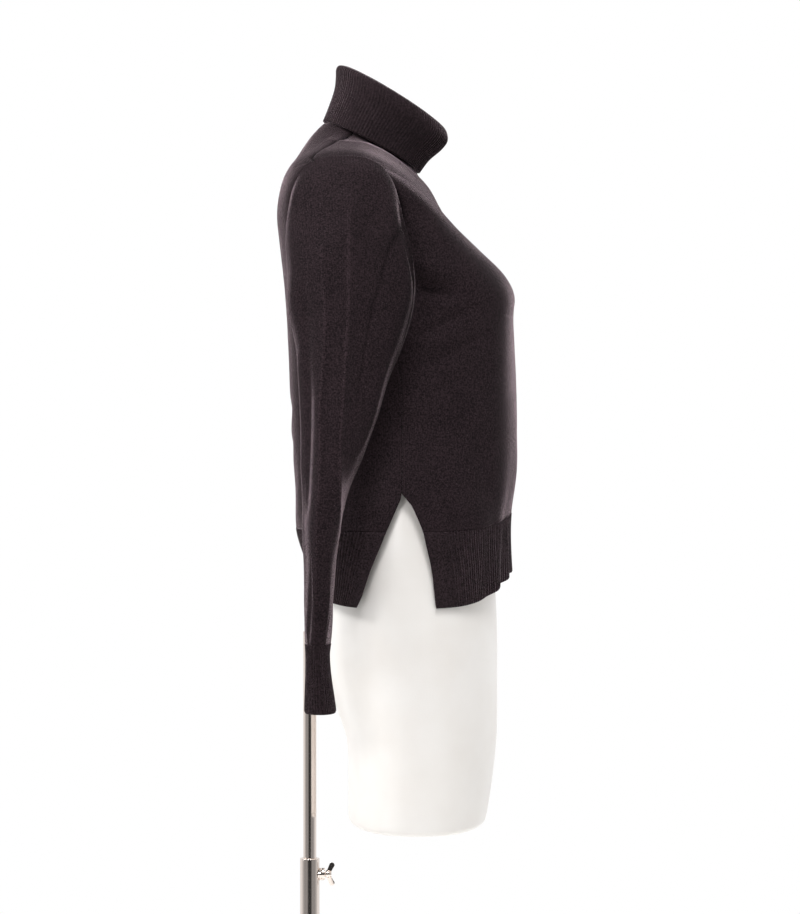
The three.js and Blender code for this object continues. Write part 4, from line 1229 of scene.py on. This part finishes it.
stand = {
    "poleY": 101,
    "rodRadius": 7.4,
    "rodLow": 250,
    "rodTop": 852,
    "tubeRadius": 11,
    "boreRadius": 7.9,
    "tubeLow": 6.3,
    "tubeMouth": 598,
    "flangeRadius": 24,
    "flangeThickness": 5,
    "plateRadius": 190,
    "plateThickness": 6,
    "axisRadius": 0.3,    # a solid piece's profile ends here, and a small face closes it
    "edgeRound": 1,
    "plateEdge": 1.5,
}
pole = np.array([0, stand["poleY"], 0])
flangeTop = stand["tubeLow"] + stand["flangeThickness"]
lathe("mastRod", rounded([
    (stand["axisRadius"], stand["rodLow"]),
    (stand["rodRadius"], stand["rodLow"]),
    (stand["rodRadius"], stand["rodTop"]),
    (stand["axisRadius"], stand["rodTop"]),
], stand["edgeRound"]), pole, "mast_rod", body="mast")
lathe("standTube", rounded([
    (stand["boreRadius"], stand["tubeLow"]),
    (stand["flangeRadius"], stand["tubeLow"]),
    (stand["flangeRadius"], flangeTop),
    (stand["tubeRadius"], flangeTop),
    (stand["tubeRadius"], stand["tubeMouth"]),
    (stand["boreRadius"], stand["tubeMouth"]),
], stand["edgeRound"], loop=True), pole, "stand_tube")
lathe("basePlate", rounded([
    (stand["axisRadius"], 0),
    (stand["plateRadius"], 0),
    (stand["plateRadius"], stand["plateThickness"]),
    (stand["axisRadius"], stand["plateThickness"]),
], stand["plateEdge"]), np.zeros(3), "base_plate", 160, material=brushedSteel)


# Small fittings keep the frame's own shape, with their edges rounded.
def roundedCopy(node, width, body):
    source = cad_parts[node]
    piece = source.copy()
    piece.data = source.data.copy()
    piece.data.materials.clear()
    piece.name = node + "Rounded"
    scene.collection.objects.link(piece)
    piece.parent = None
    piece.matrix_world = source.matrix_world.copy()
    weld(piece)
    bevel = piece.modifiers.new("roundedEdges", "BEVEL")
    bevel.width = width * mm
    bevel.segments = 3
    bevel.limit_method = "ANGLE"
    bevel.angle_limit = math.radians(32)
    bevel.harden_normals = False
    for face in piece.data.polygons:
        face.use_smooth = True
    return finishPiece(piece, chrome, [node], body)


fittings = [("rod_bracket", 0.5, "mast"), ("clamp_boss", 0.4, "stand"), ("wing_screw", 0.5, "screw")]
for node, width, body in fittings:
    roundedCopy(node, width, body)
print("stand made")


# Floor and light. The room is bright behind the object, so that its edges are lit, dim at the
# camera's sides and nearly dark round the camera, so that lamps light what faces it.
studio = {
    "floorRadius": 2.9,
    "floorColour": "#f3f2f0",
    "wallColour": "#ffffff",
    # The walls' light by direction along X, from the camera at -1 to straight ahead at 1.
    "wallLight": [(-0.97, 0.04), (-0.88, 0.35), (-0.5, 0.35), (-0.1, 0.6), (0.3, 1)],
}


def makeFloor(s):
    bpy.ops.mesh.primitive_circle_add(
        vertices=96, radius=s["floorRadius"], fill_type="NGON", location=(0, 0, -0.0005))
    floor = bpy.context.object
    floor.name = "floor"
    material = newMaterial("palePaper", {"Base Color": toLinear(s["floorColour"]), "Roughness": 0.9})[0]
    floor.data.materials.append(material)


# The camera itself sees plain white walls.
def makeWalls(s):
    world = bpy.data.worlds.new("studio")
    scene.world = world
    world.use_nodes = True
    tree = world.node_tree
    tree.nodes.clear()
    way = addNode(tree, "ShaderNodeTexCoord").outputs["Generated"]
    split = addNode(tree, "ShaderNodeSeparateXYZ", inputs={"Vector": way})
    place = addNode(tree, "ShaderNodeMapRange", inputs={
        "Value": split.outputs["X"], "From Min": -1, "From Max": 1})
    ramp = addNode(tree, "ShaderNodeValToRGB", inputs={"Fac": place.outputs[0]})
    steps = ramp.color_ramp.elements
    while len(steps) < len(s["wallLight"]):
        steps.new(0.5)
    for step, (direction, light) in zip(steps, s["wallLight"]):
        step.position = (direction + 1) / 2
        step.color = [light] * 3 + [1]
    white = toLinear(s["wallColour"])
    seen = addNode(tree, "ShaderNodeBackground", inputs={"Color": white, "Strength": 1})
    lit = addNode(tree, "ShaderNodeBackground", inputs={"Color": white, "Strength": ramp.outputs[0]})
    path = addNode(tree, "ShaderNodeLightPath")
    mix = addNode(tree, "ShaderNodeMixShader", inputs={
        0: path.outputs["Is Camera Ray"], 1: lit.outputs[0], 2: seen.outputs[0]})
    addNode(tree, "ShaderNodeOutputWorld", inputs={"Surface": mix.outputs[0]})


# Soft boxes: place and aim in metres, size in metres, power in watts.
softBoxes = [
    {"name": "topKey", "place": (-1.6, -0.3, 3.3), "aim": (0, 0, 1.2), "size": (0.9, 0.9), "watts": 50},
    {"name": "frontRim", "place": (1.8, -1.2, 2.9), "aim": (0, 0, 1.2), "size": (1.2, 1.2), "watts": 42},
    {"name": "backRim", "place": (-0.2, 2.2, 2.9), "aim": (0, 0, 1.3), "size": (0.9, 0.9), "watts": 55},
    {"name": "cameraFill", "place": (-2.7, 1.0, 1.9), "aim": (0, 0, 1.0), "size": (0.7, 0.5), "watts": 22},
]


def addSoftBox(s):
    data = bpy.data.lights.new(s["name"], "AREA")
    data.shape = "RECTANGLE"
    data.size, data.size_y = s["size"]
    data.energy = s["watts"]
    lamp = bpy.data.objects.new(s["name"], data)
    scene.collection.objects.link(lamp)
    lamp.location = s["place"]
    lamp.rotation_euler = (Vector(s["aim"]) - Vector(s["place"])).to_track_quat("-Z", "Y").to_euler()


makeFloor(studio)
makeWalls(studio)
for softBox in softBoxes:
    addSoftBox(softBox)
scene.view_settings.view_transform = "Standard"
print("studio made")
